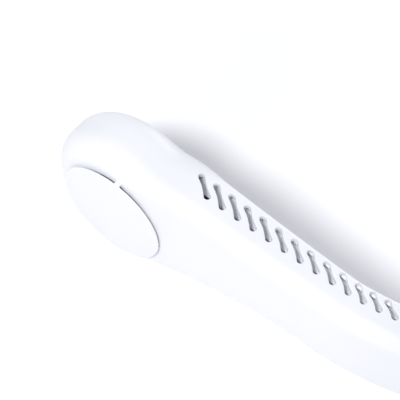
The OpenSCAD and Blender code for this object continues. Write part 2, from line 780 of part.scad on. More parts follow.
// Controls in the right arm: board, button, lights and charging port
control_up = 11.2;
control_z = under_z(button_run) + control_up;
board_depth = 6.5;
board_h = 13;
post_r = 1.6;
post_margin = 2.5;
post_place = board_l / 2 - post_margin;
switch_w = 4.5;
switch_t = 1.8;
plunger_r = 1;
plunger_h = 0.45;
flange_w = 1;
flange_r = button_r + flange_w;
flange_t = 0.7;
stem_r = 1.6;
button_proud = 0.7;
button_play = 0.2;
light_runs = [2, 5, 8];
light_play = 0.05;
port_l = 7.2;
port_margin = 8.5;
port_run = board_l / 2 - port_margin;
port_shell = 0.3;
port_lift = 0.4;
port_tongue_t = 0.7;
port_tongue_w = 6.7;
module on_controls() {
    on_arm(control_run) translate([0, 0, control_z]) children();
}
module board_posts() {
    on_controls() for (y = [-post_place, post_place]) translate([0, y, -board_h / 2 + post_r]) inward()
        rod(post_r, wall / 2, board_depth - seat_play);
}
module port_outline(play) {
    w = port_w - port_t;
    translate([-port_t / 2 - play, -w / 2]) square([port_t + 2 * play, w]);
    for (y = [-w / 2, w / 2]) translate([0, y]) circle(port_t / 2 + play);
}
module on_port() {
    on_arm(control_run) translate([-board_depth - board_t - seat_play - port_t / 2, port_run,
        under_z(control_run + port_run)]) children();
}
module control_holes() {
    on_controls() {
        translate([0, button_run - control_run, 0]) inward() rod(button_r + button_play, -over, wall + over);
        for (y = light_runs) translate([0, y, 0]) inward() rod(light_r + light_play, -over, wall + over);
    }
    on_port() translate([0, 0, -over]) linear_extrude(wall + 2 * over) port_outline(button_play);
}
module control_board() {
    color(green) on_side(-1) on_controls() {
        translate([-board_depth - board_t, -board_l / 2, -board_h / 2]) cube([board_t, board_l, board_h]);
        translate([0, button_run - control_run, 0]) {
            translate([-board_depth - board_t / 2, -switch_w / 2, -switch_w / 2])
                cube([switch_t + board_t / 2, switch_w, switch_w]);
            inward() rod(plunger_r, board_depth - switch_t - plunger_h, board_depth - switch_t / 2);
        }
    }
}
module charging_port() {
    color(steel) on_side(-1) on_port() translate([0, 0, port_lift]) {
        difference() {
            linear_extrude(port_l) port_outline(0);
            translate([0, 0, -over]) linear_extrude(port_l - port_shell + over) port_outline(-port_shell);
        }
        translate([-port_tongue_t / 2, -port_tongue_w / 2, port_lift])
            cube([port_tongue_t, port_tongue_w, port_l - port_lift]);
    }
}
module charge_lights() {
    color(grey) on_side(-1) on_controls() for (y = light_runs) translate([0, y, 0]) inward()
        rod(light_r, 0, board_depth - seat_play);
}
module power_button() {
    color(white) on_side(-1) on_controls() translate([0, button_run - control_run, 0]) inward() {
        rod(button_r, -button_proud, wall + seat_play + flange_t / 2);
        rod(flange_r, wall + seat_play, wall + seat_play + flange_t);
        rod(stem_r, wall + seat_play, board_depth - switch_t - plunger_h - button_travel - light_play);
    }
}

neck_bridge_shell();
neck_bridge_lid();
neck_bridge_screws();
battery_cells();
hinge_fork(1);  // left_hinge_fork
hinge_fork(-1);  // right_hinge_fork
hinge_pin(1);  // left_hinge_pin
hinge_pin(-1);  // right_hinge_pin
sleeve(1);  // left_sleeve
sleeve(-1);  // right_sleeve
arm_shell(1);  // left_arm_shell
arm_shell(-1);  // right_arm_shell
arm_lid(1);  // left_arm_lid
arm_lid(-1);  // right_arm_lid
arm_screws(1);  // left_arm_screws
arm_screws(-1);  // right_arm_screws
hinge_tongue(1);  // left_hinge_tongue
hinge_tongue(-1);  // right_hinge_tongue
intake_cover(1);  // left_intake_cover
intake_cover(-1);  // right_intake_cover
head_cap(1);  // left_head_cap
head_cap(-1);  // right_head_cap
cap_screws(1);  // left_cap_screws
cap_screws(-1);  // right_cap_screws
air_duct(1);  // left_air_duct
air_duct(-1);  // right_air_duct
foam_seal(1);  // left_foam_seal
foam_seal(-1);  // right_foam_seal
motor_mount(1);  // left_motor_mount
motor_mount(-1);  // right_motor_mount
mount_screws(1);  // left_mount_screws
mount_screws(-1);  // right_mount_screws
motor_board(1);  // left_motor_board
motor_board(-1);  // right_motor_board
bearings(1);  // left_bearings
bearings(-1);  // right_bearings
stator(1);  // left_stator
stator(-1);  // right_stator
coils(1);  // left_coils
coils(-1);  // right_coils
impeller(1);  // left_impeller
impeller(-1);  // right_impeller
rotor_can(1);  // left_rotor_can
rotor_can(-1);  // right_rotor_can
magnet_ring(1);  // left_magnet_ring
magnet_ring(-1);  // right_magnet_ring
shaft(1);  // left_shaft
shaft(-1);  // right_shaft
control_board();
charging_port();
charge_lights();
power_button();
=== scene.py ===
import json
import math

import bmesh
import bpy
import numpy as np
from mathutils import Matrix, Vector


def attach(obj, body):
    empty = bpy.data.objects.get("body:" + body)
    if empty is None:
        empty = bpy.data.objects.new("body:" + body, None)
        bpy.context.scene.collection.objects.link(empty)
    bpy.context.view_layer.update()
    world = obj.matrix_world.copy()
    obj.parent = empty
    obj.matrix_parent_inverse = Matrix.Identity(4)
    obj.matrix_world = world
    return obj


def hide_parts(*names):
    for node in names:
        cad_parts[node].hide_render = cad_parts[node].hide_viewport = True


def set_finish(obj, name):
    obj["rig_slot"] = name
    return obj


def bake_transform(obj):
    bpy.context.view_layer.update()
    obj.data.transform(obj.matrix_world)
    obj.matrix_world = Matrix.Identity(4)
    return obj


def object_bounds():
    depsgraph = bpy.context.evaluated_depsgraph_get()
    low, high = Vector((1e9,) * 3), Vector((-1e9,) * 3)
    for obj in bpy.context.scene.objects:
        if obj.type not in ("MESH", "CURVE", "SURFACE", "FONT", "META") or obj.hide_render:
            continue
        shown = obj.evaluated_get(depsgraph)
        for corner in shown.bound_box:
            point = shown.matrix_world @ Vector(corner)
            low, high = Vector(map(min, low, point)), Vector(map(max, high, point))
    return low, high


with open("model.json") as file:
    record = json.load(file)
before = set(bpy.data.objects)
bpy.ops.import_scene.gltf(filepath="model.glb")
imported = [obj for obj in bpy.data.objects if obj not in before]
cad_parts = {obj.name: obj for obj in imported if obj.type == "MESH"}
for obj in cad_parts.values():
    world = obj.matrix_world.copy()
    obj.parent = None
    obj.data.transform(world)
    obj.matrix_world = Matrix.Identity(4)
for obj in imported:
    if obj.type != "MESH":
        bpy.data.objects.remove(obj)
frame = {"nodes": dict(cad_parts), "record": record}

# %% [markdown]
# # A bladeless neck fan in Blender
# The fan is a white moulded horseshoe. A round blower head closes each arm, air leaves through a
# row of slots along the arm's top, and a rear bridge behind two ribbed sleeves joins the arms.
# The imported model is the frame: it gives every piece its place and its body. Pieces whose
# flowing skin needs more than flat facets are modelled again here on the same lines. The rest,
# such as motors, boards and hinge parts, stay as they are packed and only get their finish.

CAD_BOX = [list(corner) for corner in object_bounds()]
MM = 0.001
print("packed box in mm:", [[round(v / MM, 1) for v in corner] for corner in CAD_BOX])

# %% [markdown]
# The camera comes first, because it decides how much detail each piece needs. It could be set by
# eye, but the cover's ellipse and the row of slots fix the view, so its place is worked out from
# them. It looks down on the wearer's left head from outside and behind, with a long lens, so the
# lines hardly converge. The aim is a plain rotation, and the lens isn't shifted.

# %% Camera
PHOTO_PX, SENSOR_MM, FOCAL_PX = 400, 36.0, 1592.3
CAMERA_MM = (311.88, 96.29, 511.07)
AZIMUTH, ELEVATION, ROLL = math.radians(120.704), math.radians(59.209), 0.09112


def camera_axes(azimuth, elevation, roll):
    """Forward, right and up of a camera that turns about the vertical, then tips, then rolls."""
    level = math.cos(elevation)
    forward = Vector((-math.sin(azimuth) * level, math.cos(azimuth) * level, -math.sin(elevation)))
    right = Vector((math.cos(azimuth), math.sin(azimuth), 0.0))
    up = right.cross(forward)
    c, s = math.cos(roll), math.sin(roll)
    return forward, right * c + up * s, up * c - right * s


forward, right, up = camera_axes(AZIMUTH, ELEVATION, ROLL)
lens = bpy.data.cameras.new("studio_camera")
lens.sensor_width = SENSOR_MM
lens.lens = FOCAL_PX * SENSOR_MM / PHOTO_PX
camera = bpy.data.objects.new("studio_camera", lens)
bpy.context.scene.collection.objects.link(camera)
turn = Matrix((right, up, -forward)).transposed().to_4x4()
camera.matrix_world = Matrix.Translation(Vector(CAMERA_MM) * MM) @ turn
bpy.context.scene.camera = camera
print("lens in mm:", round(lens.lens, 1))

# %% [markdown]
# ## The run of an arm
# Every point of an arm is given by three numbers: how far along the outer face it lies, how deep
# inward, and how high. A drawn curve could carry the same line, but sums can be read, changed and
# shared by shells, lids and screws. From above, the outer face is a straight line behind the
# cover, then three arcs: a long bow, the shoulder and the back of the neck.

# %% Sizes of the outer face, in mm and degrees
HEAD_R, HEAD_EDGE = 30.0, 9.9
TOE, FACE_RUN, BOW_R, ARM_RUN = -4.0, 22.0, 2000.0, 88.0
SHOULDER_R, SHOULDER_TURN, BACK_R = 76.0, 50.0, 100.0

SHOULDER_AT = TOE + math.degrees((ARM_RUN - FACE_RUN) / BOW_R)
BACK_AT = SHOULDER_AT + SHOULDER_TURN
RUN_BACK = ARM_RUN + math.radians(SHOULDER_TURN) * SHOULDER_R
RUN_MID = RUN_BACK + math.radians(90 - BACK_AT) * BACK_R
print("run to the middle of the bridge in mm:", round(RUN_MID, 2))


# %% Heading and way along the outer face
def heading(s):
    """Direction of the outer face at a run, in degrees; 0 runs straight back."""
    if s < FACE_RUN:
        return TOE
    if s < ARM_RUN:
        return TOE + math.degrees((s - FACE_RUN) / BOW_R)
    if s < RUN_BACK:
        return SHOULDER_AT + math.degrees((s - ARM_RUN) / SHOULDER_R)
    return BACK_AT + math.degrees((s - RUN_BACK) / BACK_R)


def arc(radius, start, end):
    """Step in plan from one heading to another along an arc."""
    a, b = math.radians(start), math.radians(end)
    return np.array([math.cos(b) - math.cos(a), math.sin(b) - math.sin(a)]) * radius


def walked(s):
    """Step in plan from the head's centre to a run."""
    toe = math.radians(TOE)
    way = min(s, FACE_RUN) * np.array([-math.sin(toe), math.cos(toe)])
    if s > FACE_RUN:
        way = way + arc(BOW_R, TOE, heading(min(s, ARM_RUN)))
    if s > ARM_RUN:
        way = way + arc(SHOULDER_R, SHOULDER_AT, heading(min(s, RUN_BACK)))
    if s > RUN_BACK:
        way = way + arc(BACK_R, BACK_AT, heading(s))
    return way


print("the left half reaches back in mm:", np.round(walked(RUN_MID), 2))

# %% [markdown]
# The horseshoe is centred on the origin: its middle plane is x = 0, and its front and back lie
# equally far from y = 0. That fixes the centre of the left head, and one function then places
# any point. Past the middle of the bridge it mirrors, so the bridge is drawn in one go.

# %% Placing a point of the left side
toe_rad = math.radians(-TOE)
FRONT_REACH = math.cos(toe_rad) * (HEAD_R - HEAD_EDGE) + HEAD_EDGE - math.sin(toe_rad) * HEAD_EDGE
HEAD_XY = np.array([-walked(RUN_MID)[0], (FRONT_REACH - walked(RUN_MID)[1]) / 2])


def place(s, depth, height):
    """A point in metres from its run, depth and height in mm."""
    if s > RUN_MID:
        x, y, z = place(2 * RUN_MID - s, depth, height)
        return (-x, y, z)
    x, y = HEAD_XY + walked(s)
    h = math.radians(heading(s))
    return ((x - math.cos(h) * depth) * MM, (y - math.sin(h) * depth) * MM, height * MM)


print("centre of the left head's outer face in mm:", np.round(HEAD_XY, 2))

# %% [markdown]
# From the side, the head is round, the arm arches over the shoulder and then falls to the bridge.
# A smooth step leads from one height to the next. Where the underside leaves the drum its slope
# counts too, so a cubic with a given slope at both ends is used there.

# %% Smooth steps and arches
def mix(a, b, t):
    return a + (b - a) * t


def smooth(t):
    """A step from 0 to 1 that starts and ends level."""
    t = min(max(t, 0.0), 1.0)
    return t * t * (3 - 2 * t)


def arch(a, slope_a, b, slope_b, run, t):
    """A cubic from a to b over a run, with its slope given at both ends."""
    return (a * (1 + 2 * t) * (1 - t) ** 2 + slope_a * run * t * (1 - t) ** 2
            + b * t * t * (3 - 2 * t) + slope_b * run * t * t * (t - 1))


print("a quarter of the way along, a smooth step has risen by:", smooth(0.25))

# %% Top and underside along the run
ARM_TOP, ARM_UNDER, CREST_FLAT, BACK_H = 64.5, 29.2, 14.0, 38.0
RISE_END, THROAT_RUN, THROAT_UNDER, THROAT_SLOPE = 36.0, 18.0, 10.4, 0.54
FALL_START, REST_RUN = ARM_RUN + 7, 14.0
FALL_END = RUN_MID - REST_RUN
CREST_RUN = FALL_START - CREST_FLAT


def fall(s):
    return smooth((s - FALL_START) / (FALL_END - FALL_START))


def top_z(s):
    if s < FALL_START:
        return mix(2 * HEAD_R, ARM_TOP, smooth(s / RISE_END))
    return mix(ARM_TOP, BACK_H, fall(s))


def under_z(s):
    if s < THROAT_RUN:
        return arch(0, 0, THROAT_UNDER, THROAT_SLOPE, THROAT_RUN, s / THROAT_RUN)
    if s < CREST_RUN:
        span = CREST_RUN - THROAT_RUN
        return arch(THROAT_UNDER, THROAT_SLOPE, ARM_UNDER, 0, span, (s - THROAT_RUN) / span)
    return mix(ARM_UNDER, 0, fall(s))


for run in (0, 36, 81, 152, RUN_MID):
    print(f"run {run:6.1f}: top {top_z(run):5.1f}  underside {under_z(run):5.1f}")

# %% [markdown]
# The head is a thick drum and the arm a thinner plank, so the thickness steps down on the inner
# side. Each corner of the section has its own radius. The drum falls away behind its centre,
# which makes the inner top edge widest there.

# %% Thickness and corner radii along the run
HEAD_T, ARM_T, BACK_T, BULGE_START = 24.2, 19.3, 15.6, 16.0
ARM_EDGE, INNER_EDGE, BULGE_EDGE, EDGE_RUN = 5.7, 2.2, 7.5, 22.0


def bulge(s):
    return smooth((s - BULGE_START) / (RISE_END - BULGE_START))


def thick(s):
    return mix(HEAD_T, mix(ARM_T, BACK_T, min(s / ARM_RUN, 1)), bulge(s))


def outer_edge(s):
    return mix(HEAD_EDGE, ARM_EDGE, smooth(s / EDGE_RUN))


def inner_edge(s):
    swell = BULGE_EDGE * math.sin(math.pi * s / RISE_END) ** 2 if 0 < s < RISE_END else 0
    return mix(HEAD_EDGE, INNER_EDGE, smooth(s / RISE_END)) + swell


for run in (0, 18, 36, RUN_MID):
    print(f"run {run:6.1f}: thick {thick(run):5.1f}  edges {outer_edge(run):4.1f} {inner_edge(run):4.1f}")

# %% [markdown]
# ## From rings to a skin
# A section of the arm becomes a ring of points, always as many and always in the same order, so
# that one ring can be joined to the next. The ring can be drawn inset, with its own inset on the
# inner side, and then it is the hollow's section.

# %% Ring across an arm
CORNER_STEPS, FACE_STEPS, EDGE_STEPS, LEAST_EDGE = 12, 8, 6, 0.4


def line(a, b, count):
    """The points between two corners of a section, without its ends."""
    return [(mix(a[0], b[0], k / count), mix(a[1], b[1], k / count)) for k in range(1, count)]


def corner(steps, centre, rd, rh, quarter):
    """A quarter ellipse from the vertical side round to the flat one; quarter gives its signs."""
    angles = [math.pi / 2 * k / steps for k in range(steps + 1)]
    return [(centre[0] + quarter[0] * rd * math.cos(a), centre[1] + quarter[1] * rh * math.sin(a))
            for a in angles]


def ring(s, g=0.0, gi=None):
    """Depth and height round the section at run s, inset by g, on the inner side by gi."""
    gi = g if gi is None else gi
    d0, d1, hi, lo = g, thick(s) - gi, top_z(s) - g, under_z(s) + g
    ro, ri = outer_edge(s), inner_edge(s)
    outer_r, outer_in_r = max(ro - g, LEAST_EDGE), max(ro - gi, LEAST_EDGE)
    top_in_d, top_in_h = max(ri - gi, LEAST_EDGE), max(ri - g, LEAST_EDGE)
    a = corner(CORNER_STEPS, (d0 + outer_r, hi - outer_r), outer_r, outer_r, (-1, 1))
    b = corner(CORNER_STEPS, (d1 - top_in_d, hi - top_in_h), top_in_d, top_in_h, (1, 1))[::-1]
    c = corner(CORNER_STEPS, (d1 - outer_in_r, lo + outer_r), outer_in_r, outer_r, (1, -1))
    d = corner(CORNER_STEPS, (d0 + outer_r, lo + outer_r), outer_r, outer_r, (-1, -1))[::-1]
    out_mid = (d0, (a[0][1] + d[-1][1]) / 2)
    in_mid = (d1, (b[-1][1] + c[0][1]) / 2)
    return ([out_mid] + line(out_mid, a[0], FACE_STEPS) + a + line(a[-1], b[0], EDGE_STEPS) + b
            + line(b[-1], in_mid, FACE_STEPS) + [in_mid] + line(in_mid, c[0], FACE_STEPS) + c
            + line(c[-1], d[0], EDGE_STEPS) + d + line(d[-1], out_mid, FACE_STEPS))


RING_N = len(ring(0.0))
HALF_N = RING_N // 2
print("points in a ring:", RING_N)

# %% [markdown]
# A loft is the plain way to a long moulded form: rings of points joined by quads and closed by a
# cap at either end. Subdivision could round a coarse cage as well, but a loft keeps every ring
# where the frame says.

# %% Closed meshes
WELD_M = 1e-7  # points nearer than this become one


def mesh_object(name, points, faces):
    """A welded mesh with its faces turned outward."""
    mesh = bpy.data.meshes.new(name)
    mesh.from_pydata([tuple(p) for p in points], [], faces)
    bm = bmesh.new()
    bm.from_mesh(mesh)
    bmesh.ops.remove_doubles(bm, verts=bm.verts, dist=WELD_M)
    bmesh.ops.recalc_face_normals(bm, faces=bm.faces)
    if bm.calc_volume(signed=True) < 0:
        bmesh.ops.reverse_faces(bm, faces=bm.faces)
    bm.to_mesh(mesh)
    bm.free()
    made = bpy.data.objects.new(name, mesh)
    bpy.context.scene.collection.objects.link(made)
    return made


print("points are welded within mm:", round(WELD_M / MM, 6))


# %% Lofts
def loft_faces(rows, count, first=0):
    """Quads between rows of count points each, round and round."""
    faces = []
    for i in range(rows - 1):
        for k in range(count):
            n = (k + 1) % count
            a, b = first + i * count, first + (i + 1) * count
            faces.append((a + k, a + n, b + n, b + k))
    return faces


def loft(name, rings):
    """A closed solid through rings of placed points."""
    points = [p for one in rings for p in one]
    count, last = len(rings[0]), (len(rings) - 1) * len(rings[0])
    caps = [tuple(range(count)), tuple(reversed(range(last, last + count)))]
    return mesh_object(name, points, loft_faces(len(rings), count) + caps)


def spaced(start, end, step):
    """Runs from start to end, about a step apart."""
    return list(np.linspace(start, end, max(2, int(round(abs(end - start) / step)) + 1)))


print("quads between two rings:", len(loft_faces(2, RING_N)))

# %% [markdown]
# In front of its centre the head is a turned drum. Rings across a drum bunch up at its nose, so
# there the same profile is spun about the head's axis instead. Both share the ring at run 0 point
# for point and weld into one skin, with no seam for the light to catch.

# %% The head's drum and the arm as one skin
DRUM_TURNS = 48


def drum_and_loft(name, stops, g=0.0, gi_of=lambda s: None):
    """The head's turned front half and the arm's rings as one closed skin."""
    points, faces = [], []
    for s in stops:
        points += [place(s, d, z) for d, z in ring(s, g, gi_of(s))]
    faces += loft_faces(len(stops), RING_N)
    last = (len(stops) - 1) * RING_N
    faces.append(tuple(reversed(range(last, last + RING_N))))
    profile = ring(0.0, g, gi_of(0.0))[: HALF_N + 1]
    start = len(points)
    for i in range(DRUM_TURNS + 1):
        angle = math.pi * i / DRUM_TURNS
        for depth, height in profile:
            r = height - HEAD_R
            points.append(place(-r * math.sin(angle), depth, HEAD_R + r * math.cos(angle)))
    for i in range(DRUM_TURNS):
        for k in range(HALF_N):
            a, b = start + i * (HALF_N + 1) + k, start + (i + 1) * (HALF_N + 1) + k
            if k == 0:
                faces.append((a, a + 1, b + 1))
            elif k == HALF_N - 1:
                faces.append((a, a + 1, b))
            else:
                faces.append((a, a + 1, b + 1, b))
    return mesh_object(name, points, faces)


print("points on the drum's front half:", (DRUM_TURNS + 1) * (HALF_N + 1))

# %% [markdown]
# Covers, screws, the button and every round cut are turned pieces. A lathe spins a profile of
# (radius, depth) points about an axis. The axis could be moved by an object's own place and turn,
# but cuts are simplest when every mesh lies in the fan's frame, so a small frame on the outer
# face places each point at once. The first such frame is the head's own.

# %% Turned pieces
def arm_frame(s, z, side=1):
    """A frame on the outer face at a run and height; side -1 puts it on the wearer's right."""
    x, y = HEAD_XY + walked(s)
    h = math.radians(heading(s))

    def point(up_mm, back_mm, inward_mm):
        px = x - inward_mm * math.cos(h) - back_mm * math.sin(h)
        py = y - inward_mm * math.sin(h) + back_mm * math.cos(h)
        return (side * px * MM, py * MM, (z + up_mm) * MM)

    return point


head_point = arm_frame(0, HEAD_R)


def lathe(name, profile, to_point=head_point, steps=96, centre=(0.0, 0.0)):
    """Spins (radius, depth) points into a solid, closed by a flat cap at both ends."""
    points, faces = [], []
    for k in range(steps):
        a = 2 * math.pi * k / steps
        points += [to_point(centre[0] + r * math.cos(a), centre[1] + r * math.sin(a), d)
                   for r, d in profile]
    n = len(profile)
    for k in range(steps):
        a, b = k * n, ((k + 1) % steps) * n
        faces += [(a + j, a + j + 1, b + j + 1, b + j) for j in range(n - 1)]
    faces.append(tuple(k * n for k in range(steps)))
    faces.append(tuple(k * n + n - 1 for k in reversed(range(steps))))
    return mesh_object(name, points, faces)


print("the head's centre in mm:", [round(v / MM, 2) for v in head_point(0, 0, 0)])

# %% [markdown]
# A Boolean cut is the way to slots, mouths and ledges, as the tool's cores do it in the mould. The
# manifold solver is fast and keeps closed meshes closed. Each cut is baked into the mesh at once,
# so nothing is left to work out when the model is posed.


# %% Cuts
def settle(piece):
    """Bakes the modifiers into the mesh."""
    depsgraph = bpy.context.evaluated_depsgraph_get()
    mesh = bpy.data.meshes.new_from_object(piece.evaluated_get(depsgraph))
    piece.modifiers.clear()
    old, piece.data = piece.data, mesh
    bpy.data.meshes.remove(old)


def carve(piece, cutters, operation="DIFFERENCE"):
    """Works the cutters into the piece one after the other, then removes them."""
    before = len(piece.data.polygons)
    for cutter in cutters:
        cut = piece.modifiers.new("cut", "BOOLEAN")
        cut.operation, cut.solver, cut.object = operation, "MANIFOLD", cutter
        settle(piece)
    for cutter in cutters:
        bpy.data.objects.remove(cutter)
    print(f"{piece.name}: {before} faces before, {len(piece.data.polygons)} after")
    return piece


# %% [markdown]
# Smooth shading has to stop where two faces meet at a true edge, or the light would smear round
# it. The other side's pieces could be drawn anew, but a copy with its mesh mirrored can't differ.
# Mirroring turns the faces inside out, so they are turned back.

# %% Shading and the piece for the other side
SOFT_ANGLE = 32


def shade(piece, angle=SOFT_ANGLE):
    """Smooth shading that stops at edges sharper than the angle in degrees."""
    piece.data.shade_smooth()
    piece.data.set_sharp_from_angle(angle=math.radians(angle))
    return piece


def mirrored(piece, name):
    """The same piece for the other side."""
    twin = piece.copy()
    twin.data = piece.data.copy()
    twin.name = twin.data.name = name
    twin.data.transform(Matrix.Scale(-1, 4, Vector((1, 0, 0))))
    twin.data.flip_normals()
    bpy.context.scene.collection.objects.link(twin)
    return twin


print("edges sharper than this stay sharp, in degrees:", SOFT_ANGLE)

# %% [markdown]
# ## Arm shells
# A real arm is two mouldings: an outer shell that carries the head's drum, and a lid let into its
# inner side. The sleeve over the hinge follows at the end of the shoulder, and then the bridge.
# So the first sizes are the walls, and where along the run each part starts and ends.

# %% Walls, lids and the ends of the parts, in mm
WALL, LID_T, LEDGE_T, LID_PLAY = 1.8, 2.0, 1.2, 0.12
HINGE_LEAD, SLEEVE_RUN, LID_MARGIN = 2.3, 18.0, 8
OVER = 1.0  # how far a cutter reaches past the surface that it cuts

ARM_END = RUN_BACK - HINGE_LEAD
BRIDGE_START = ARM_END + SLEEVE_RUN
LID_FIRST, LID_LAST = RISE_END + 1, ARM_END - LID_MARGIN
BRIDGE_LID_FIRST = BRIDGE_START + LID_MARGIN
BRIDGE_LID_LAST = 2 * RUN_MID - BRIDGE_LID_FIRST
print("arm and bridge end at the sleeve, at runs in mm:", round(ARM_END, 2), round(BRIDGE_START, 2))

# %% [markdown]
# The slots are bone-shaped: round ends, a narrower waist and a soft rim from the tool. Straight
# prisms would be quicker to draw, but a knife edge catches no light. So each cutter is a stack of
# outlines that flares out above the skin. All sixteen are one mesh and need one cut.

# %% Outline of a slot
SLOT_OUTER, SLOT_INNER, SLOT_END_R, SLOT_WAIST_R = 8.8, 14.0, 1.2, 0.82
BONE_CAP = 78  # half the turn of a round end, in degrees
BONE_PINCH, BONE_STEPS = 1.3, 10


def bone(length, grow=0.0):
    """Outline of a slot along x, from a round end at 0 to one at length, waisted between."""
    r = SLOT_END_R + grow
    cap = [math.radians(a) for a in np.linspace(-BONE_CAP, BONE_CAP, BONE_STEPS)]
    outline = [(length + r * math.cos(a), r * math.sin(a)) for a in cap]
    x1, y1 = outline[-1]
    x0 = length - x1
    shares = [k / (2 * BONE_STEPS) for k in range(1, 2 * BONE_STEPS)]
    waist = [(t, y1 - (y1 - SLOT_WAIST_R - grow) * math.sin(math.pi * t) ** BONE_PINCH) for t in shares]
    outline += [(mix(x1, x0, t), y) for t, y in waist]
    outline += [(-r * math.cos(a), r * math.sin(a)) for a in reversed(cap)]
    outline += [(mix(x0, x1, t), -y) for t, y in waist]
    return outline


print("points round a slot:", len(bone(SLOT_INNER - SLOT_OUTER)))

# %% Slot cutters with a rounded rim
SLOT_COUNT, SLOT_FIRST, SLOT_PITCH, SLOT_LEAN, SLOT_REACH = 16, 32.8, 6.4, 6.6, 3.0
SLOT_TRIM = 0.015  # share by which each slot is cut back at either end, against the one before
SLOT_RIM = 0.2
RIM_CURVE = ((0.9, 1.0), (0.0, 1.0), (-0.03, 0.62), (-0.09, 0.29))  # height, share of SLOT_RIM


def slot_cutters():
    """One mesh with every slot: flared above the skin, straight through the wall below it."""
    rim = [(up, SLOT_RIM * share) for up, share in RIM_CURVE]
    rim += [(-SLOT_RIM, 0.0), (-WALL - SLOT_REACH, 0.0)]
    points, faces = [], []
    for i in range(SLOT_COUNT):
        s = SLOT_FIRST + i * SLOT_PITCH
        outer_end = np.array(place(s, SLOT_OUTER, 0.0)) / MM
        inner_end = np.array(place(s - SLOT_LEAN, SLOT_INNER, 0.0)) / MM
        trim = i * SLOT_TRIM
        a, b = mix(outer_end, inner_end, trim), mix(inner_end, outer_end, trim)
        length = float(np.linalg.norm((b - a)[:2]))
        along = (b - a)[:2] / length
        across = np.array([-along[1], along[0]])
        first = len(points)
        for up, grow in rim:
            for x, y in bone(length, grow):
                p = a[:2] + along * x + across * y
                run = s - SLOT_LEAN * x / length
                points.append((p[0] * MM, p[1] * MM, (top_z(run) + up) * MM))
        n = len(bone(length))
        last = first + (len(rim) - 1) * n
        faces += loft_faces(len(rim), n, first)
        faces += [tuple(range(first, first + n)), tuple(reversed(range(last, last + n)))]
    return mesh_object("slot_cutters", points, faces)


print("the row of slots ends at a run of mm:", round(SLOT_FIRST + (SLOT_COUNT - 1) * SLOT_PITCH, 1))

# %% [markdown]
# A lid lies in an opening of its own shape, on a narrow ledge. Opening and lid could be drawn one
# by one, but then they may not fit. Here one function draws both: with overshoot it is the cutter,
# and with a little play and softened edges it is the lid.

# %% The plank that is both a lid and its opening
LID_STEP, LID_ROWS = 1.5, 10


def near_side(s):
    """The run of the same point on the left half."""
    return min(s, 2 * RUN_MID - s)


def lid_solid(name, start, end, back_of, face_of, play, soft=0.0):
    """A plank from start to end of a run, between two depths that are given along it."""
    rings = []
    for s in spaced(start, end, LID_STEP):
        t = near_side(s)
        hi, lo = top_z(t) - INNER_EDGE - play, under_z(t) + ARM_EDGE + play
        deep, face = back_of(t), face_of(t)
        rows = [(deep, hi), (face - soft, hi), (face, hi - soft)]
        rows += line((face, hi - soft), (face, lo + soft), LID_ROWS)
        rows += [(face, lo + soft), (face - soft, lo), (deep, lo)]
        rows += line((deep, lo), (deep, hi), LID_ROWS)
        rings.append([place(s, d, z) for d, z in rows])
    return loft(name, rings)


def lid_opening(name, start, end):
    return lid_solid(name, start, end, lambda s: thick(s) - LID_T - OVER, lambda s: thick(s) + OVER, 0.0)


print("the arm's lid runs in mm:", LID_FIRST, "to", round(LID_LAST, 2))

# %% [markdown]
# The shell could be an outer and an inner skin stitched together at every rim. Here it is a solid
# skin with the hollow carved out of it, which gives a true wall at every slot. Further cuts are
# the lid's opening, the cap's seat and ledge, the flared mouth and the slots. Rings stand closer
# at the head, where the form turns fast, and farther apart inside, where nobody looks.

# %% Left arm shell
MOUTH_R, FLARE_R, FLARE_T, CAP_R, LEDGE_W = 17.5, 19.4, 1.1, 21.5, 1.3
FLARE_OUT, FLARE_IN, FLARE_DOWN = 1.8, 0.3, 0.1
CAP_FLOOR = HEAD_T - LID_T
HEAD_STEP, ARM_STEP, HOLLOW_HEAD_STEP, HIDDEN_STEP = 1.0, 1.4, 1.5, 2.0


def inner_wall(s):
    """Inset of the hollow on the inner side: cap and ledge at the head, the lid along the arm."""
    return mix(LID_T + LEDGE_T, LID_T, bulge(s))


def head_cylinder(name, r, start, end):
    return lathe(name, [(r, start), (r, end)])


arm_stops = spaced(0, RISE_END, HEAD_STEP) + spaced(RISE_END, ARM_END, ARM_STEP)[1:]
hollow_stops = (spaced(0, RISE_END, HOLLOW_HEAD_STEP)
                + spaced(RISE_END, ARM_END + OVER, HIDDEN_STEP)[1:])
left_shell = drum_and_loft("left_arm_skin", arm_stops)
carve(left_shell, [
    drum_and_loft("arm_hollow", hollow_stops, WALL, inner_wall),
    lid_opening("lid_opening", LID_FIRST, LID_LAST),
    head_cylinder("cap_recess", CAP_R + LID_PLAY, CAP_FLOOR, HEAD_T + OVER),
    head_cylinder("cap_ledge", CAP_R - LEDGE_W, CAP_FLOOR - LEDGE_T - OVER, CAP_FLOOR + OVER),
    lathe("mouth", [(FLARE_R + FLARE_OUT, -OVER), (FLARE_R, 0.0), (FLARE_R - FLARE_IN, FLARE_DOWN),
                    (MOUTH_R, FLARE_T), (MOUTH_R, WALL + OVER)]),
    slot_cutters(),
])
print("left arm skin reaches in mm:", [round(v / MM, 1) for v in left_shell.dimensions])
right_shell = mirrored(left_shell, "right_arm_skin")

# %% [markdown]
# The wearer's right arm carries the controls, so its shell gets three more cuts: a round hole for
# the button, three pin holes for the charge lights and a long round-ended mouth for the port.
# Plain cylinders would do for the holes, but a small lip softens them as the tool does. All are
# measured from one frame on the outer face, because one board behind it carries the controls.

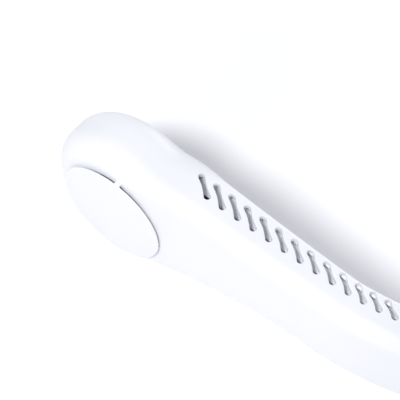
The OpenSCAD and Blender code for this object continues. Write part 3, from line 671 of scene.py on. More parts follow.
# %% Control holes in the right shell
BUTTON_RUN, BUTTON_UP, BUTTON_LEAD, BUTTON_R = 64.0, 11.2, 8, 4.4
CONTROL_RUN, CONTROL_Z = BUTTON_RUN + BUTTON_LEAD, under_z(BUTTON_RUN) + BUTTON_UP
LIGHT_R, LIGHT_RUNS = 0.9, (2, 5, 8)
PORT_W, PORT_T, PORT_DEPTH, PORT_RUN, PORT_PLAY, PORT_STEPS = 8.94, 3.2, 9.0, 8.0, 0.2, 16
HOLE_PLAY, HOLE_LIP, LIGHT_PLAY, LIGHT_LIP = 0.2, 0.2, 0.05, 0.1
LIP_OUT, LIP_SHARE, HOLE_TURNS = 0.9, 0.3, 48

control_point = arm_frame(CONTROL_RUN, CONTROL_Z, -1)


def soft_hole(name, r, back_mm, lip):
    profile = [(r + lip + LIP_OUT, -LIP_OUT), (r + lip, 0.0), (r + lip * LIP_SHARE, lip * LIP_SHARE),
               (r, lip), (r, WALL + OVER)]
    return lathe(name, profile, control_point, HOLE_TURNS, (0.0, back_mm))


def port_mouth():
    """A slot with round ends, cut up through the underside."""
    r, w = PORT_T / 2 + PORT_PLAY, (PORT_W - PORT_T) / 2
    outline = []
    for side in (1, -1):
        for k in range(PORT_STEPS + 1):
            a = math.pi * k / PORT_STEPS
            outline.append((side * (w + r * math.sin(a)), side * r * math.cos(a)))
    floor = under_z(CONTROL_RUN + PORT_RUN) - CONTROL_Z
    return loft("port_mouth", [[control_point(up_mm, PORT_RUN + b, PORT_DEPTH + d) for b, d in outline]
                               for up_mm in (floor - OVER, floor + WALL + OVER)])


holes = [soft_hole("button_hole", BUTTON_R + HOLE_PLAY, BUTTON_RUN - CONTROL_RUN, HOLE_LIP)]
holes += [soft_hole(f"light_hole_{k}", LIGHT_R + LIGHT_PLAY, back_mm, LIGHT_LIP)
          for k, back_mm in enumerate(LIGHT_RUNS)]
carve(right_shell, holes + [port_mouth()])
for piece, side in ((left_shell, "left"), (right_shell, "right")):
    shade(piece)
    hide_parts(f"{side}_arm_shell")
    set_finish(piece, "white_plastic")
    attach(piece, f"{side}_arm")

# %% [markdown]
# The power button is a short moulded cap with a finger dish and a soft rim. A flange behind the
# wall keeps it in, and a stem reaches in to the switch. A cylinder with a bevel would look the
# same from afar, but the dish needs a profile of its own, so the cap is turned on the lathe.

# %% Power button
BUTTON_PROUD, FLANGE_GAP, FLANGE_W, FLANGE_T = 0.7, 0.1, 1.0, 0.7
STEM_R, STEM_END, BUTTON_TURNS = 1.6, 3.7, 72
BUTTON_FACE = ((0.7, 0.45), (1.8, 0.39), (2.8, 0.22), (3.5, 0.05), (3.85, 0.0), (4.12, 0.04),
               (4.33, 0.17), (BUTTON_R, 0.36))  # radius, depth below the crest of the rim

flange, flange_r = WALL + FLANGE_GAP, BUTTON_R + FLANGE_W
button = lathe("button_cap", [(r, down - BUTTON_PROUD) for r, down in BUTTON_FACE] + [
    (BUTTON_R, flange), (flange_r, flange), (flange_r, flange + FLANGE_T), (STEM_R, flange + FLANGE_T),
    (STEM_R, STEM_END)], control_point, BUTTON_TURNS, (0.0, BUTTON_RUN - CONTROL_RUN))
shade(button)
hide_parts("power_button")
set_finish(button, "white_plastic")
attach(button, "power_button")
print("button reaches in mm:", [round(v / MM, 1) for v in button.dimensions])

# %% [markdown]
# The intake cover is a thin dished disc on four small feet, held by hooks in the mouth. Air comes
# in all round under its rim, so the rim thins to a soft edge and a dark line runs below it. The
# line fades toward the arm, so the disc leans in there by about a degree. Separate parts would
# show a joint, so disc, feet and hooks are turned and swept about one axis and then united.

# %% Intake covers
COVER_R, COVER_PROUD, COVER_BACK, COVER_DISH, DISH_R, COVER_TURNS = 21.1, 1.6, -0.9, 0.5, 15.5, 128
COVER_RIM = ((0.5, -COVER_PROUD), (0.25, -1.57), (0.08, -1.48), (0.0, -1.34), (0.04, -1.2),
             (0.2, -1.11), (0.5, -1.07))  # inset from the edge, depth
COVER_LEAN, SWEEP_STEPS = 0.022, 8
FOOT_TURN, FOOT_FIRST, FOOT_R, FOOT_SET_IN, FOOT_TOP, FOOT_SOLE = 5.6, 6.0, 19.65, 0.15, -1.3, 0.6
HOOK_R, HOOK_T, HOOK_TURN, BARB_W, BARB_AT, HOOK_END = 17.25, 1.1, 24.0, 0.6, 2.2, 3.5


def cover_point(up_mm, back_mm, inward_mm):
    """A point in the cover's frame, which leans in a little toward the arm."""
    return head_point(up_mm, back_mm, inward_mm + back_mm * COVER_LEAN)


def head_sweep(name, profile, middle, turn):
    """Sweeps (radius, depth) points through an arc about the cover's axis; angles in degrees."""
    angles = np.linspace(middle - turn / 2, middle + turn / 2, SWEEP_STEPS + 1)
    return loft(name, [[cover_point(r * math.cos(a), r * math.sin(a), d) for r, d in profile]
                       for a in map(math.radians, angles)])


left_cover = lathe("left_cover_disc", [(COVER_R - inset, d) for inset, d in COVER_RIM]
                   + [(FLARE_R, COVER_BACK), (DISH_R, COVER_DISH)], cover_point, COVER_TURNS)
foot_outer = COVER_R - FOOT_SET_IN
foot = [(FOOT_R, FOOT_TOP), (foot_outer, FOOT_TOP), (foot_outer, FOOT_SOLE), (FOOT_R, FOOT_SOLE)]
hook = [(HOOK_R - HOOK_T, COVER_BACK), (HOOK_R, COVER_BACK), (HOOK_R, BARB_AT),
        (HOOK_R + BARB_W, BARB_AT), (HOOK_R, HOOK_END), (HOOK_R - HOOK_T, HOOK_END)]
feet = [head_sweep(f"foot_{k}", foot, FOOT_FIRST + 90 * k, FOOT_TURN) for k in range(4)]
hooks = [head_sweep(f"hook_{k}", hook, FOOT_FIRST + 45 + 90 * k, HOOK_TURN) for k in range(4)]
carve(left_cover, feet + hooks, "UNION")
right_cover = mirrored(left_cover, "right_cover_disc")
for piece, side in ((left_cover, "left"), (right_cover, "right")):
    shade(piece)
    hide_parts(f"{side}_intake_cover")
    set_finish(piece, "white_plastic")
    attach(piece, f"{side}_arm")

# %% [markdown]
# A look into the slots falls on a pale surface close below them. That is the air guide: a step on
# the duct's floor that turns the air up. It comes nearer to the slots along the arm, as less air
# is left to carry. It could be cut to measure, but the moulded wall bends two ways, so it is a
# plain L-shaped loft with a rounded crest, trimmed by the hollow itself.

# %% Air guides under the slots
GUIDE_DEPTH, GUIDE_T, DUCT_DOWN, GUIDE_FIRST, GUIDE_RISE, GUIDE_END = 10.2, 1.0, 8.9, 19.0, 5.0, 141.0
GUIDE_DOWN, GUIDE_DOWN_FAR, GUIDE_CREST_R, GUIDE_CREST_STEPS, GUIDE_PLAY = 3.85, 3.3, 0.7, 6, 0.15


def guide_ring(s):
    """Depth and height round the guide's L: rounded crest, long shelf, plain foot."""
    floor = top_z(s) - DUCT_DOWN
    down = mix(GUIDE_DOWN, GUIDE_DOWN_FAR, smooth((s - SLOT_FIRST) / (ARM_RUN - SLOT_FIRST)))
    shelf = mix(floor + GUIDE_T, top_z(s) - down, smooth((s - GUIDE_FIRST) / GUIDE_RISE))
    r = GUIDE_CREST_R
    crest = [(GUIDE_DEPTH + r - r * math.cos(a), shelf - r + r * math.sin(a))
             for a in np.linspace(0, math.pi / 2, GUIDE_CREST_STEPS)]
    return ([(GUIDE_DEPTH, floor)] + crest + [(thick(s), shelf), (thick(s), shelf - GUIDE_T),
            (GUIDE_DEPTH + GUIDE_T, shelf - GUIDE_T), (GUIDE_DEPTH + GUIDE_T, floor)])


guide_runs = spaced(GUIDE_FIRST, GUIDE_END, HIDDEN_STEP)
left_guide = loft("left_air_guide", [[place(s, d, z) for d, z in guide_ring(s)] for s in guide_runs])
carve(left_guide, [drum_and_loft("guide_trim", hollow_stops, WALL + GUIDE_PLAY,
                                 lambda s: inner_wall(s) + GUIDE_PLAY)], "INTERSECT")
right_guide = mirrored(left_guide, "right_air_guide")
for piece, side in ((left_guide, "left"), (right_guide, "right")):
    shade(piece)
    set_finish(piece, "inner_plastic")
    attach(piece, f"{side}_arm")

# %% [markdown]
# ## Lids
# The lids follow the same lines as the shells that they close, and each sinks its screws in plain
# round counterbores. A flat sheet bent along the arm would stretch at the arch, so a lid is the
# plank that the opening was cut with, drawn with a little play and a softened rim.

# %% Lids of the arms and of the bridge
BOSS_R, BOSS_GAP, BOSS_SPREAD, BOSS_IN, BRIDGE_BOSS_IN = 2.6, 0.1, 22, 6, 4.9
ARM_BOSSES = (CONTROL_RUN - BOSS_SPREAD, CONTROL_RUN + BOSS_SPREAD, LID_LAST - BOSS_IN)
BOSS_REACH = RUN_MID - BRIDGE_LID_FIRST - BRIDGE_BOSS_IN
BRIDGE_BOSSES = (RUN_MID - BOSS_REACH, RUN_MID, RUN_MID + BOSS_REACH)
SCREW_R, SCREW_HEAD_R, SCREW_SINK, SCREW_PLAY = 0.9, 1.8, 1.1, 0.15
LID_SOFT, BORE_RIM, BORE_TURNS = 0.15, 0.3, 40


def boss_frame(s):
    """The frame of a boss at a run, and the depth of the lid's face there."""
    t = near_side(s)
    z = under_z(t) + ARM_EDGE + BOSS_R + BOSS_GAP
    return arm_frame(t, z, -1 if s > RUN_MID else 1), thick(t)


def counterbores(runs):
    """Stepped holes for the screws, each with a softened rim."""
    cutters = []
    for point, face in map(boss_frame, runs):
        hole, seat, rim = SCREW_R + SCREW_PLAY, SCREW_HEAD_R + SCREW_PLAY, SCREW_HEAD_R + BORE_RIM
        floor = face - SCREW_SINK
        cutters.append(lathe("counterbore", [
            (hole, face - LID_T - OVER), (hole, floor), (seat, floor), (seat, face - LID_SOFT),
            (rim, face), (rim, face + OVER)], point, BORE_TURNS))
    return cutters


def lid(name, start, end, runs):
    plank = lid_solid(name, start + LID_PLAY, end - LID_PLAY, lambda s: thick(s) - LID_T, thick,
                      LID_PLAY, LID_SOFT)
    return shade(carve(plank, counterbores(runs)))


left_lid = lid("left_lid_plate", LID_FIRST, LID_LAST, ARM_BOSSES)
right_lid = mirrored(left_lid, "right_lid_plate")
bridge_lid = lid("bridge_lid_plate", BRIDGE_LID_FIRST, BRIDGE_LID_LAST, BRIDGE_BOSSES)
for piece, node, body in ((left_lid, "left_arm_lid", "left_arm"), (right_lid, "right_arm_lid", "right_arm"),
                          (bridge_lid, "neck_bridge_lid", "neck_bridge")):
    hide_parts(node)
    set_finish(piece, "white_plastic")
    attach(piece, body)

# %% [markdown]
# The lids and caps are held by small pan-head screws. A cold-formed head has a soft rim, and the
# punch leaves a tapered cross for the driver. A picture of a cross would look flat from the side,
# so each head is turned and its cross is cut with two tapered bars. The crosses stop at odd
# angles, as screws do. The screws of a lid are one mesh, as they are one set in the pack.

# %% Screws with a cross recess
SCREW_HEAD_H, SCREW_DOWN, SCREW_TURNS, LID_SCREW_L, CAP_SCREW_L = 1.0, 0.1, 48, 7.0, 4.2
PAN_CURVE = ((1.2, 0.0), (1.52, 0.06), (1.72, 0.22), (SCREW_HEAD_R, 0.5))  # radius, depth from the top
TIP_R, TIP_L = 0.3, 0.8
CROSS_TOP, CROSS_FOOT = (0.2, 1.15, 0.27), (-0.65, 0.6, 0.16)  # height, half length, half width
LID_CROSS, CAP_CROSS = (15, 35), (20, 25)  # first angle and the step to the next, in degrees


def cross_screw(point, top, length, turn, centre=(0.0, 0.0)):
    """A pan head whose top lies at a depth, on its shank, with the cross turned by some degrees."""
    seat = top - SCREW_HEAD_H
    foot_at = seat - length
    screw = lathe("screw", [(r, top - down) for r, down in PAN_CURVE] + [
        (SCREW_HEAD_R, seat), (SCREW_R, seat), (SCREW_R, foot_at + TIP_L), (TIP_R, foot_at)],
        point, SCREW_TURNS, centre)
    bars = []
    for angle in (math.radians(turn), math.radians(turn + 90)):
        c, s = math.cos(angle), math.sin(angle)
        bars.append(loft("cross_bar", [
            [point(centre[0] + u * c - v * s, centre[1] + u * s + v * c, top + up_mm)
             for u, v in ((half_l, half_w), (-half_l, half_w), (-half_l, -half_w), (half_l, -half_w))]
            for up_mm, half_l, half_w in (CROSS_TOP, CROSS_FOOT)]))
    return carve(screw, bars)


print("a lid screw is long in mm:", SCREW_HEAD_H + LID_SCREW_L)

# %% [markdown]
# Three screws hold each lid and each cap. The cap's stand in a ring about the head's axis, the
# lid's stand on bosses along the arm. They could stay separate objects, but one mesh for each set
# stands for one piece of the pack. The right side's are mirrored with the rest.

# %% Screw sets
LUG_R, CAP_LUGS, SCREW_SOFT = 19.3, (30, 150, 270), 40


def screw_set(name, screws):
    """Gathers separate screws into one mesh."""
    together = carve(screws[0], screws[1:], "UNION")
    together.name = together.data.name = name
    return shade(together, SCREW_SOFT)


def lid_screws(name, runs):
    first, step = LID_CROSS
    return screw_set(name, [cross_screw(point, face - SCREW_DOWN, LID_SCREW_L, first + step * k)
                            for k, (point, face) in enumerate(map(boss_frame, runs))])


left_lid_screws = lid_screws("left_lid_screw_set", ARM_BOSSES)
bridge_screws = lid_screws("bridge_screw_set", BRIDGE_BOSSES)
left_cap_screws = screw_set("left_cap_screw_set", [
    cross_screw(head_point, HEAD_T - SCREW_DOWN, CAP_SCREW_L, CAP_CROSS[0] + CAP_CROSS[1] * k,
                (LUG_R * math.cos(math.radians(a)), LUG_R * math.sin(math.radians(a))))
    for k, a in enumerate(CAP_LUGS)])
right_lid_screws = mirrored(left_lid_screws, "right_lid_screw_set")
right_cap_screws = mirrored(left_cap_screws, "right_cap_screw_set")
SCREW_SETS = ((left_lid_screws, "left_arm_screws", "left_arm"),
              (right_lid_screws, "right_arm_screws", "right_arm"),
              (left_cap_screws, "left_cap_screws", "left_arm"),
              (right_cap_screws, "right_cap_screws", "right_arm"),
              (bridge_screws, "neck_bridge_screws", "neck_bridge"))
for piece, node, body in SCREW_SETS:
    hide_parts(node)
    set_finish(piece, "steel")
    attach(piece, body)

# %% [markdown]
# ## Neck bridge
# The bridge is a moulded shell that lies on the back of the neck. It could be bent from its own
# curve, but the same loft carried on round to the other side meets both sleeves exactly. It rests
# on its flat middle, and the hollow inside holds the cells.

# %% Bridge shell
BRIDGE_STEP = 1.5


def bridge_rings(start, end, step, g=0.0, gi=None):
    return [[place(s, d, z) for d, z in ring(near_side(s), g, gi)] for s in spaced(start, end, step)]


bridge_end = 2 * RUN_MID - BRIDGE_START
bridge_shell = loft("bridge_skin", bridge_rings(BRIDGE_START, bridge_end, BRIDGE_STEP))
carve(bridge_shell, [
    loft("bridge_hollow", bridge_rings(BRIDGE_START - OVER, bridge_end + OVER, HIDDEN_STEP, WALL, LID_T)),
    lid_opening("bridge_opening", BRIDGE_LID_FIRST, BRIDGE_LID_LAST),
])
shade(bridge_shell)
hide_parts("neck_bridge_shell")
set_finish(bridge_shell, "white_plastic")
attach(bridge_shell, "neck_bridge")

# %% [markdown]
# ## Ribbed sleeves
# Each hinge is covered by a soft silicone sleeve with five round ribs, which let it bend. Five
# rings could be joined to a tube, but a wave in the inset of the rings gives the same moulded
# swell without seams. The sleeve spans two bodies at once, so it rides on neither and stays
# fixed where it is drawn.

# %% Sleeves
RIBS, RIB_STEPS, RIB_FULL, CREST, VALLEY, SLEEVE_WALL = 5, 14, 0.8, 0.2, 1.4, 3.0
SLEEVE_SOFT, BEND_IN, BEND_Z = 50, 1, 30.0


def sleeve(name):
    start, end = ARM_END + LID_PLAY, BRIDGE_START - LID_PLAY
    rings = []
    for k in range(RIBS * RIB_STEPS + 1):
        t = k / (RIBS * RIB_STEPS)
        dip = 0.5 - 0.5 * math.cos(2 * math.pi * RIBS * t)
        g = mix(CREST, VALLEY, dip ** RIB_FULL)
        s = mix(start, end, t)
        rings.append([place(s, d, z) for d, z in ring(s, g)])
    outer = loft(name, rings)
    bore = loft("sleeve_bore", bridge_rings(ARM_END - OVER, BRIDGE_START + OVER, HIDDEN_STEP, SLEEVE_WALL))
    return shade(carve(outer, [bore]), SLEEVE_SOFT)


left_sleeve = sleeve("left_ribbed_sleeve")
right_sleeve = mirrored(left_sleeve, "right_ribbed_sleeve")
for piece, side in ((left_sleeve, "left"), (right_sleeve, "right")):
    sign = 1 if side == "left" else -1
    near, far = [Vector(place(s, thick(s) / 2, BEND_Z)) for s in (ARM_END + BEND_IN, BRIDGE_START - BEND_IN)]
    near.x, far.x = sign * near.x, sign * far.x
    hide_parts(f"{side}_sleeve")
    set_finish(piece, "silicone")
    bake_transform(piece)
print("each sleeve bends over in mm:", round((far - near).length / MM, 1))

# %% [markdown]
# ## Finishes
# Every finish starts from the real material: how it was made decides its grain, and its measured
# index and roughness decide how it takes light. Colours could be set as the floats that the panel
# shows, but an sRGB code can be compared with a photo, so one function turns each to linear.
# Another adds a node, sets it and links it, which keeps each recipe to a few lines.

# %% Colour and node helpers
MIX_FACTOR, MIX_A, MIX_B, MIX_OUT = 0, 6, 7, 2  # the Mix node's colour sockets share their names


def linear(code):
    """An sRGB hex colour as linear RGBA, by the standard's own curve."""
    parts = [int(code[k:k + 2], 16) / 255 for k in (1, 3, 5)]
    return tuple(c / 12.92 if c <= 0.04045 else ((c + 0.055) / 1.055) ** 2.4 for c in parts) + (1.0,)


def add(tree, kind, settings=None, links=None):
    """Adds a node: settings by input or property name, links as input name to output socket."""
    node = tree.nodes.new(kind)
    for key, value in (settings or {}).items():
        if isinstance(key, str) and not key[0].isupper():
            setattr(node, key, value)
        else:
            node.inputs[key].default_value = value
    for key, socket in (links or {}).items():
        tree.links.new(socket, node.inputs[key])
    return node


def finish_of(name, base, roughness, ior=1.5, metallic=0.0):
    """A new material, its shader and its object-space coordinates, to build a pattern on."""
    material = bpy.data.materials.new(name)
    material.use_nodes = True
    tree = material.node_tree
    shader = tree.nodes["Principled BSDF"]
    shader.inputs["Base Color"].default_value = linear(base)
    shader.inputs["Roughness"].default_value = roughness
    shader.inputs["Metallic"].default_value = metallic
    if metallic == 0:
        shader.inputs["IOR"].default_value = ior
    where = tree.nodes.new("ShaderNodeTexCoord").outputs["Object"]
    return material, tree, shader, where


print("mid grey in linear light:", round(linear("#808080")[0], 3))

# %% [markdown]
# ABS is the white plastic of most small appliances. The mould is spark-eroded to a fine satin
# grain, about 0.15 mm across, which blurs reflections without hiding the gloss: the eye sees a
# soft, dry sheen instead of a mirror. An even roughness would look like a computer's plastic, so
# noise varies gloss and height. The grain is drawn at 0.4 mm, because the real one is finer than
# a pixel here. Broad clouds of two close tones stand for the melt's uneven flow.

# %% Satin moulded ABS
GRAIN_MM, CLOUD_MM, GRAIN_STRENGTH = 0.4, 35, 0.25
GLOSS_LESS, GLOSS_MORE = 0.04, 0.05


def moulded(name, base, shadow, roughness, ior, grain_mm, depth_mm):
    """Moulded plastic: two close tones in broad clouds, and a fine grain in gloss and height."""
    material, tree, shader, where = finish_of(name, base, roughness, ior)
    clouds = add(tree, "ShaderNodeTexNoise", {"Scale": 1 / (CLOUD_MM * MM), "Detail": 2.0}, {"Vector": where})
    tone = add(tree, "ShaderNodeMix", {"data_type": "RGBA", MIX_A: linear(base), MIX_B: linear(shadow)},
               {MIX_FACTOR: clouds.outputs["Fac"]})
    tree.links.new(tone.outputs[MIX_OUT], shader.inputs["Base Color"])
    grain = add(tree, "ShaderNodeTexNoise",
                {"Scale": 1 / (grain_mm * MM), "Detail": 3.0, "Roughness": 0.6}, {"Vector": where})
    gloss = add(tree, "ShaderNodeMapRange",
                {"To Min": roughness - GLOSS_LESS, "To Max": roughness + GLOSS_MORE},
                {"Value": grain.outputs["Fac"]})
    tree.links.new(gloss.outputs["Result"], shader.inputs["Roughness"])
    bump = add(tree, "ShaderNodeBump", {"Strength": GRAIN_STRENGTH, "Distance": depth_mm * MM},
               {"Height": grain.outputs["Fac"]})
    tree.links.new(bump.outputs["Normal"], shader.inputs["Normal"])
    return material


# The outer shells: white with a breath of blue from the brightener, and a satin sheen.
white_abs = moulded("satin_moulded_abs", "#f6f7fa", "#f3f4f8",
                    roughness=0.42, ior=1.54, grain_mm=GRAIN_MM, depth_mm=0.02)
# The ducts: the same plastic a shade darker from a coarser tool, so it looks flat and recedes.
duct_abs = moulded("moulded_duct_abs", "#f2f3f6", "#eeeff3",
                   roughness=0.5, ior=1.54, grain_mm=GRAIN_MM, depth_mm=0.02)
print("white ABS linear:", [round(c, 3) for c in linear("#f6f7fa")[:3]])

# %% [markdown]
# Silicone rubber is matt and slightly waxy. It has no grain of its own, but dust and handling
# leave a soft cloudiness, drawn 0.6 mm wide, and light enters it a little, which softens the
# valleys between the ribs. Transmission as in glass would be too clear for a filled rubber, so a
# little subsurface light does it. The eye sees a cool pale grey that hardly shines.

# %% Moulded silicone rubber
silicone = moulded("matt_silicone_rubber", "#dcdee2", "#d6d8dd",
                   roughness=0.62, ior=1.41, grain_mm=0.6, depth_mm=0.015)
silicone_shader = silicone.node_tree.nodes["Principled BSDF"]
silicone_shader.inputs["Subsurface Weight"].default_value = 0.15
silicone_shader.inputs["Subsurface Radius"].default_value = (1.0, 0.9, 0.8)
silicone_shader.inputs["Subsurface Scale"].default_value = 3 * MM
depth_mm = silicone_shader.inputs["Subsurface Scale"].default_value / MM
print("light enters the silicone by mm:", round(depth_mm, 2))

# %% [markdown]
# Two dark materials sit inside. The seals are closed-cell EVA foam, knife-cut from sheet: the
# open halves of its pores swallow light, so it looks like a black hole with a dull edge. Pores
# could be cut as real holes, but they are half a millimetre wide, so a cell pattern in the height
# does it. The magnets are ferrite powder bonded in nylon and moulded, and look like dark slate.
# That powder is far finer than a pixel, so its grain is drawn 0.3 mm wide.

# %% Foam and bonded ferrite
PORE_MM, PORE_STRENGTH, PORE_DEPTH_MM = 0.5, 0.8, 0.1


def foam(name, base, roughness, ior):
    """Closed-cell foam: round pores cut through by the knife."""
    material, tree, shader, where = finish_of(name, base, roughness, ior)
    pores = add(tree, "ShaderNodeTexVoronoi", {"Scale": 1 / (PORE_MM * MM)}, {"Vector": where})
    bump = add(tree, "ShaderNodeBump", {"Strength": PORE_STRENGTH, "Distance": PORE_DEPTH_MM * MM},
               {"Height": pores.outputs["Distance"]})
    tree.links.new(bump.outputs["Normal"], shader.inputs["Normal"])
    return material


eva_foam = foam("black_eva_foam", "#1a1a1c", roughness=0.85, ior=1.48)
ferrite = moulded("bonded_ferrite", "#2b2c2f", "#232427",
                  roughness=0.55, ior=1.8, grain_mm=0.3, depth_mm=0.03)
print("foam pores in mm:", PORE_MM)

# %% [markdown]
# Screws, shafts and cans are steel that was turned or pressed, then nickel plated. Turning leaves
# rings about 0.1 mm apart, which stretch every highlight across them. They could be cut into the
# mesh, but a noise squeezed along one axis does it in the gloss alone. The rings are drawn 0.25 mm
# apart, as the real ones are finer than a pixel.

# %% Metals
RING_MM, STREAKS_PER_M = 0.25, 60.0
STREAK_LESS, STREAK_MORE = 0.08, 0.12


def drawn_metal(name, base, roughness, pitch_mm):
    """A metal whose gloss varies in long streaks, as turning, drawing or rolling leaves it."""
    material, tree, shader, where = finish_of(name, base, roughness, metallic=1.0)
    stretch = add(tree, "ShaderNodeMapping",
                  {"Scale": (1 / (pitch_mm * MM), STREAKS_PER_M, STREAKS_PER_M)}, {"Vector": where})
    streaks = add(tree, "ShaderNodeTexNoise", {"Scale": 1.0, "Detail": 2.0},
                  {"Vector": stretch.outputs["Vector"]})
    gloss = add(tree, "ShaderNodeMapRange",
                {"To Min": roughness - STREAK_LESS, "To Max": roughness + STREAK_MORE},
                {"Value": streaks.outputs["Fac"]})
    tree.links.new(gloss.outputs["Result"], shader.inputs["Roughness"])
    return material


# Nickel plate: a slightly warm, bright grey with drawn-out highlights.
nickel_steel = drawn_metal("nickel_plated_steel", "#c3c4c6", roughness=0.3, pitch_mm=RING_MM)
# Sintered bronze: pressed powder full of oil, so a dull, brownish gold without a clear highlight.
# Its pores are drawn as coarse as the turned rings.
bronze = drawn_metal("sintered_bronze", "#b08d5a", roughness=0.5, pitch_mm=RING_MM)
# Enamelled copper wire, 0.25 mm thick: orange brown under clear lacquer, with a sheen on each turn.
copper_wire = drawn_metal("enamelled_copper_wire", "#b5663a", roughness=0.35, pitch_mm=RING_MM)
# Pouch foil: rolled aluminium under clear film, pale and silky. Its roll marks are too fine to
# show, so they are drawn 0.8 mm apart.
pouch_foil = drawn_metal("pouch_cell_foil", "#c9cbce", roughness=0.38, pitch_mm=0.8)
print("streaks are long in mm:", round(1 / (STREAKS_PER_M * MM), 1))

# %% [markdown]
# The boards are glass-fibre laminate under green solder mask, a glossy lacquer through which the
# copper tracks show as lighter lines. An image could show a true layout, but no layout is known,
# so a brick pattern at the usual pitch stands for the tracks. The charge lights are pins of
# clouded polycarbonate that pipe the light out: milky, so the lamp behind shows as an even glow.

# %% Boards and light pipes
TRACK_MM, TRACK_SHARE = 2.5, 0.12


def laminate(name, base, track, roughness, ior):
    """Solder mask with the lighter lines of the copper tracks under it."""
    material, tree, shader, where = finish_of(name, base, roughness, ior)
    tracks = add(tree, "ShaderNodeTexBrick",
                 {"Scale": 1 / (TRACK_MM * MM), "Mortar Size": TRACK_SHARE, "Color1": linear(base),
                  "Color2": linear(base), "Mortar": linear(track)}, {"Vector": where})
    tree.links.new(tracks.outputs["Color"], shader.inputs["Base Color"])
    return material


circuit_board = laminate("green_solder_mask", "#1f5c3a", "#2f7a4f", roughness=0.35, ior=1.5)
light_pipe = moulded("clouded_polycarbonate", "#e6e9ea", "#dde1e3",
                     roughness=0.3, ior=1.58, grain_mm=0.5, depth_mm=0.01)
light_pipe.node_tree.nodes["Principled BSDF"].inputs["Transmission Weight"].default_value = 0.35
print("tracks are wide in mm:", round(TRACK_MM * TRACK_SHARE, 2))

# %% [markdown]
# A factory's parts list names a material for each part, and so does the record. The finishes
# could be handed out piece by piece, but a look-up by that name keeps the pieces drawn here and
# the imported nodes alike, and shows at once when a name has no finish.

# %% Give every piece and every kept node its finish
FINISHES = {"white_plastic": white_abs, "inner_plastic": duct_abs, "silicone": silicone,
            "black_foam": eva_foam, "steel": nickel_steel, "bronze": bronze, "copper": copper_wire,
            "magnet": ferrite, "circuit_board": circuit_board, "battery_foil": pouch_foil,
            "light_pipe": light_pipe}
SLOT_OF = {part["node"]: part["material_slot"] for part in frame["record"]["subparts"]}
DRAWN_HERE = (left_shell, right_shell, left_cover, right_cover, left_guide, right_guide, left_lid,
              right_lid, bridge_shell, bridge_lid, left_sleeve, right_sleeve, button,
              *(screws for screws, node, body in SCREW_SETS))
for name, node in frame["nodes"].items():
    node.data.materials.clear()
    node.data.materials.append(FINISHES[SLOT_OF[name]])
for piece in DRAWN_HERE:
    piece.data.materials.clear()
    piece.data.materials.append(FINISHES[piece["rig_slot"]])
print("finishes used:", sorted({SLOT_OF[n] for n in frame["nodes"]}))

# %% [markdown]
# ## Table and light
# The fan stands on a white table in an even white room. More lamps would make the table pale, but
# they would burn out the fan as well. So its paleness comes from its own matt paint, and from a
# faint glow that only the camera and rays through gloss or glass see, which lights nothing else.

# %% Table
TABLE_SIZE, TABLE_GAP, TABLE_GLOW = 6.0, 0.0001, 0.13
SPECKLE_MM, SPECKLE_DEPTH_MM, SPECKLE_STRENGTH = 2.5, 0.05, 0.03

bpy.ops.mesh.primitive_plane_add(size=TABLE_SIZE, location=(0, 0, 0))
table = bpy.context.object
table.name = "table_top"
table.location.z = CAD_BOX[0][2] - TABLE_GAP
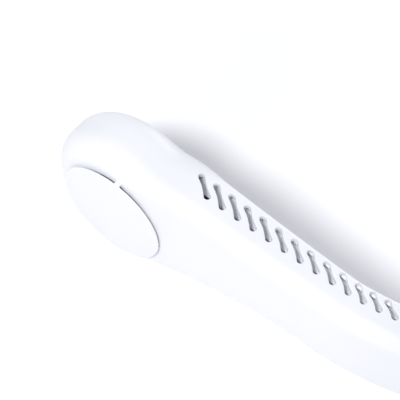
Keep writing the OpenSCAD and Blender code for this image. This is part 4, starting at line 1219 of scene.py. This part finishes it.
# Rolled matt paint: chalky, with hardly any gloss and a roller's speckle 2.5 mm wide.
table_paint, tree, shader, where = finish_of("matt_table_paint", "#f4f4f5", roughness=0.9, ior=1.45)
shader.inputs["Specular IOR Level"].default_value = 0.1
speckle = add(tree, "ShaderNodeTexNoise", {"Scale": 1 / (SPECKLE_MM * MM), "Detail": 2.0}, {"Vector": where})
bump = add(tree, "ShaderNodeBump", {"Strength": SPECKLE_STRENGTH, "Distance": SPECKLE_DEPTH_MM * MM},
           {"Height": speckle.outputs["Fac"]})
tree.links.new(bump.outputs["Normal"], shader.inputs["Normal"])
path = tree.nodes.new("ShaderNodeLightPath")
seen = path.outputs["Is Camera Ray"]
for ray in ("Is Glossy Ray", "Is Transmission Ray"):
    seen = add(tree, "ShaderNodeMath", {"operation": "ADD"}, {0: seen, 1: path.outputs[ray]}).outputs[0]
strength = add(tree, "ShaderNodeMath", {"operation": "MULTIPLY", 1: TABLE_GLOW}, {0: seen})
glow = add(tree, "ShaderNodeEmission", {"Color": (1, 1, 1, 1)}, {"Strength": strength.outputs[0]})
both = add(tree, "ShaderNodeAddShader", links={0: shader.outputs[0], 1: glow.outputs[0]})
tree.links.new(both.outputs[0], tree.nodes["Material Output"].inputs["Surface"])
table.data.materials.append(table_paint)
print("table lies at a height in mm:", round(table.location.z / MM, 2))

# %% [markdown]
# The room could be built with walls and a window. An even sky and two round soft lamps do the
# same and can be set one by one. The sky fills every hollow. The lamp high on the wearer's left is
# the window and gives the shadow. A weak one on the other side, low over the table, grazes the
# floor and reaches only the upright surfaces, so the far edges stay as pale as the rest.

# %% Room light and lamps
SKY, SKY_STRENGTH, LAMP_WHITE = "#f4f6ff", 0.48, "#ffffff"

world = bpy.data.worlds.new("white_room")
bpy.context.scene.world = world
world.use_nodes = True
sky = world.node_tree.nodes["Background"]
sky.inputs["Color"].default_value = linear(SKY)
sky.inputs["Strength"].default_value = SKY_STRENGTH


def soft_lamp(name, place_m, target_m, size_m, power_w):
    """A round area lamp at a place, aimed at a target."""
    data = bpy.data.lights.new(name, "AREA")
    data.shape, data.size, data.energy, data.color = "DISK", size_m, power_w, linear(LAMP_WHITE)[:3]
    lamp = bpy.data.objects.new(name, data)
    bpy.context.scene.collection.objects.link(lamp)
    lamp.location = place_m
    lamp.rotation_euler = (Vector(target_m) - Vector(place_m)).to_track_quat("-Z", "Y").to_euler()
    print(f"{name}: {(Vector(target_m) - Vector(place_m)).length:.2f} m away, {power_w} W")


soft_lamp("window_side", (0.825, -0.13, 1.19), target_m=(0.05, -0.02, 0.03), size_m=0.27, power_w=12.2)
soft_lamp("room_fill", (-1.1, -0.12, 0.26), target_m=(0.05, -0.02, 0.04), size_m=0.5, power_w=4.4)
bpy.context.scene.view_settings.view_transform = "Standard"

# %% [markdown]
# At the end, the scene is brought up to date once more.

# %% Last update of the scene
bpy.context.view_layer.update()
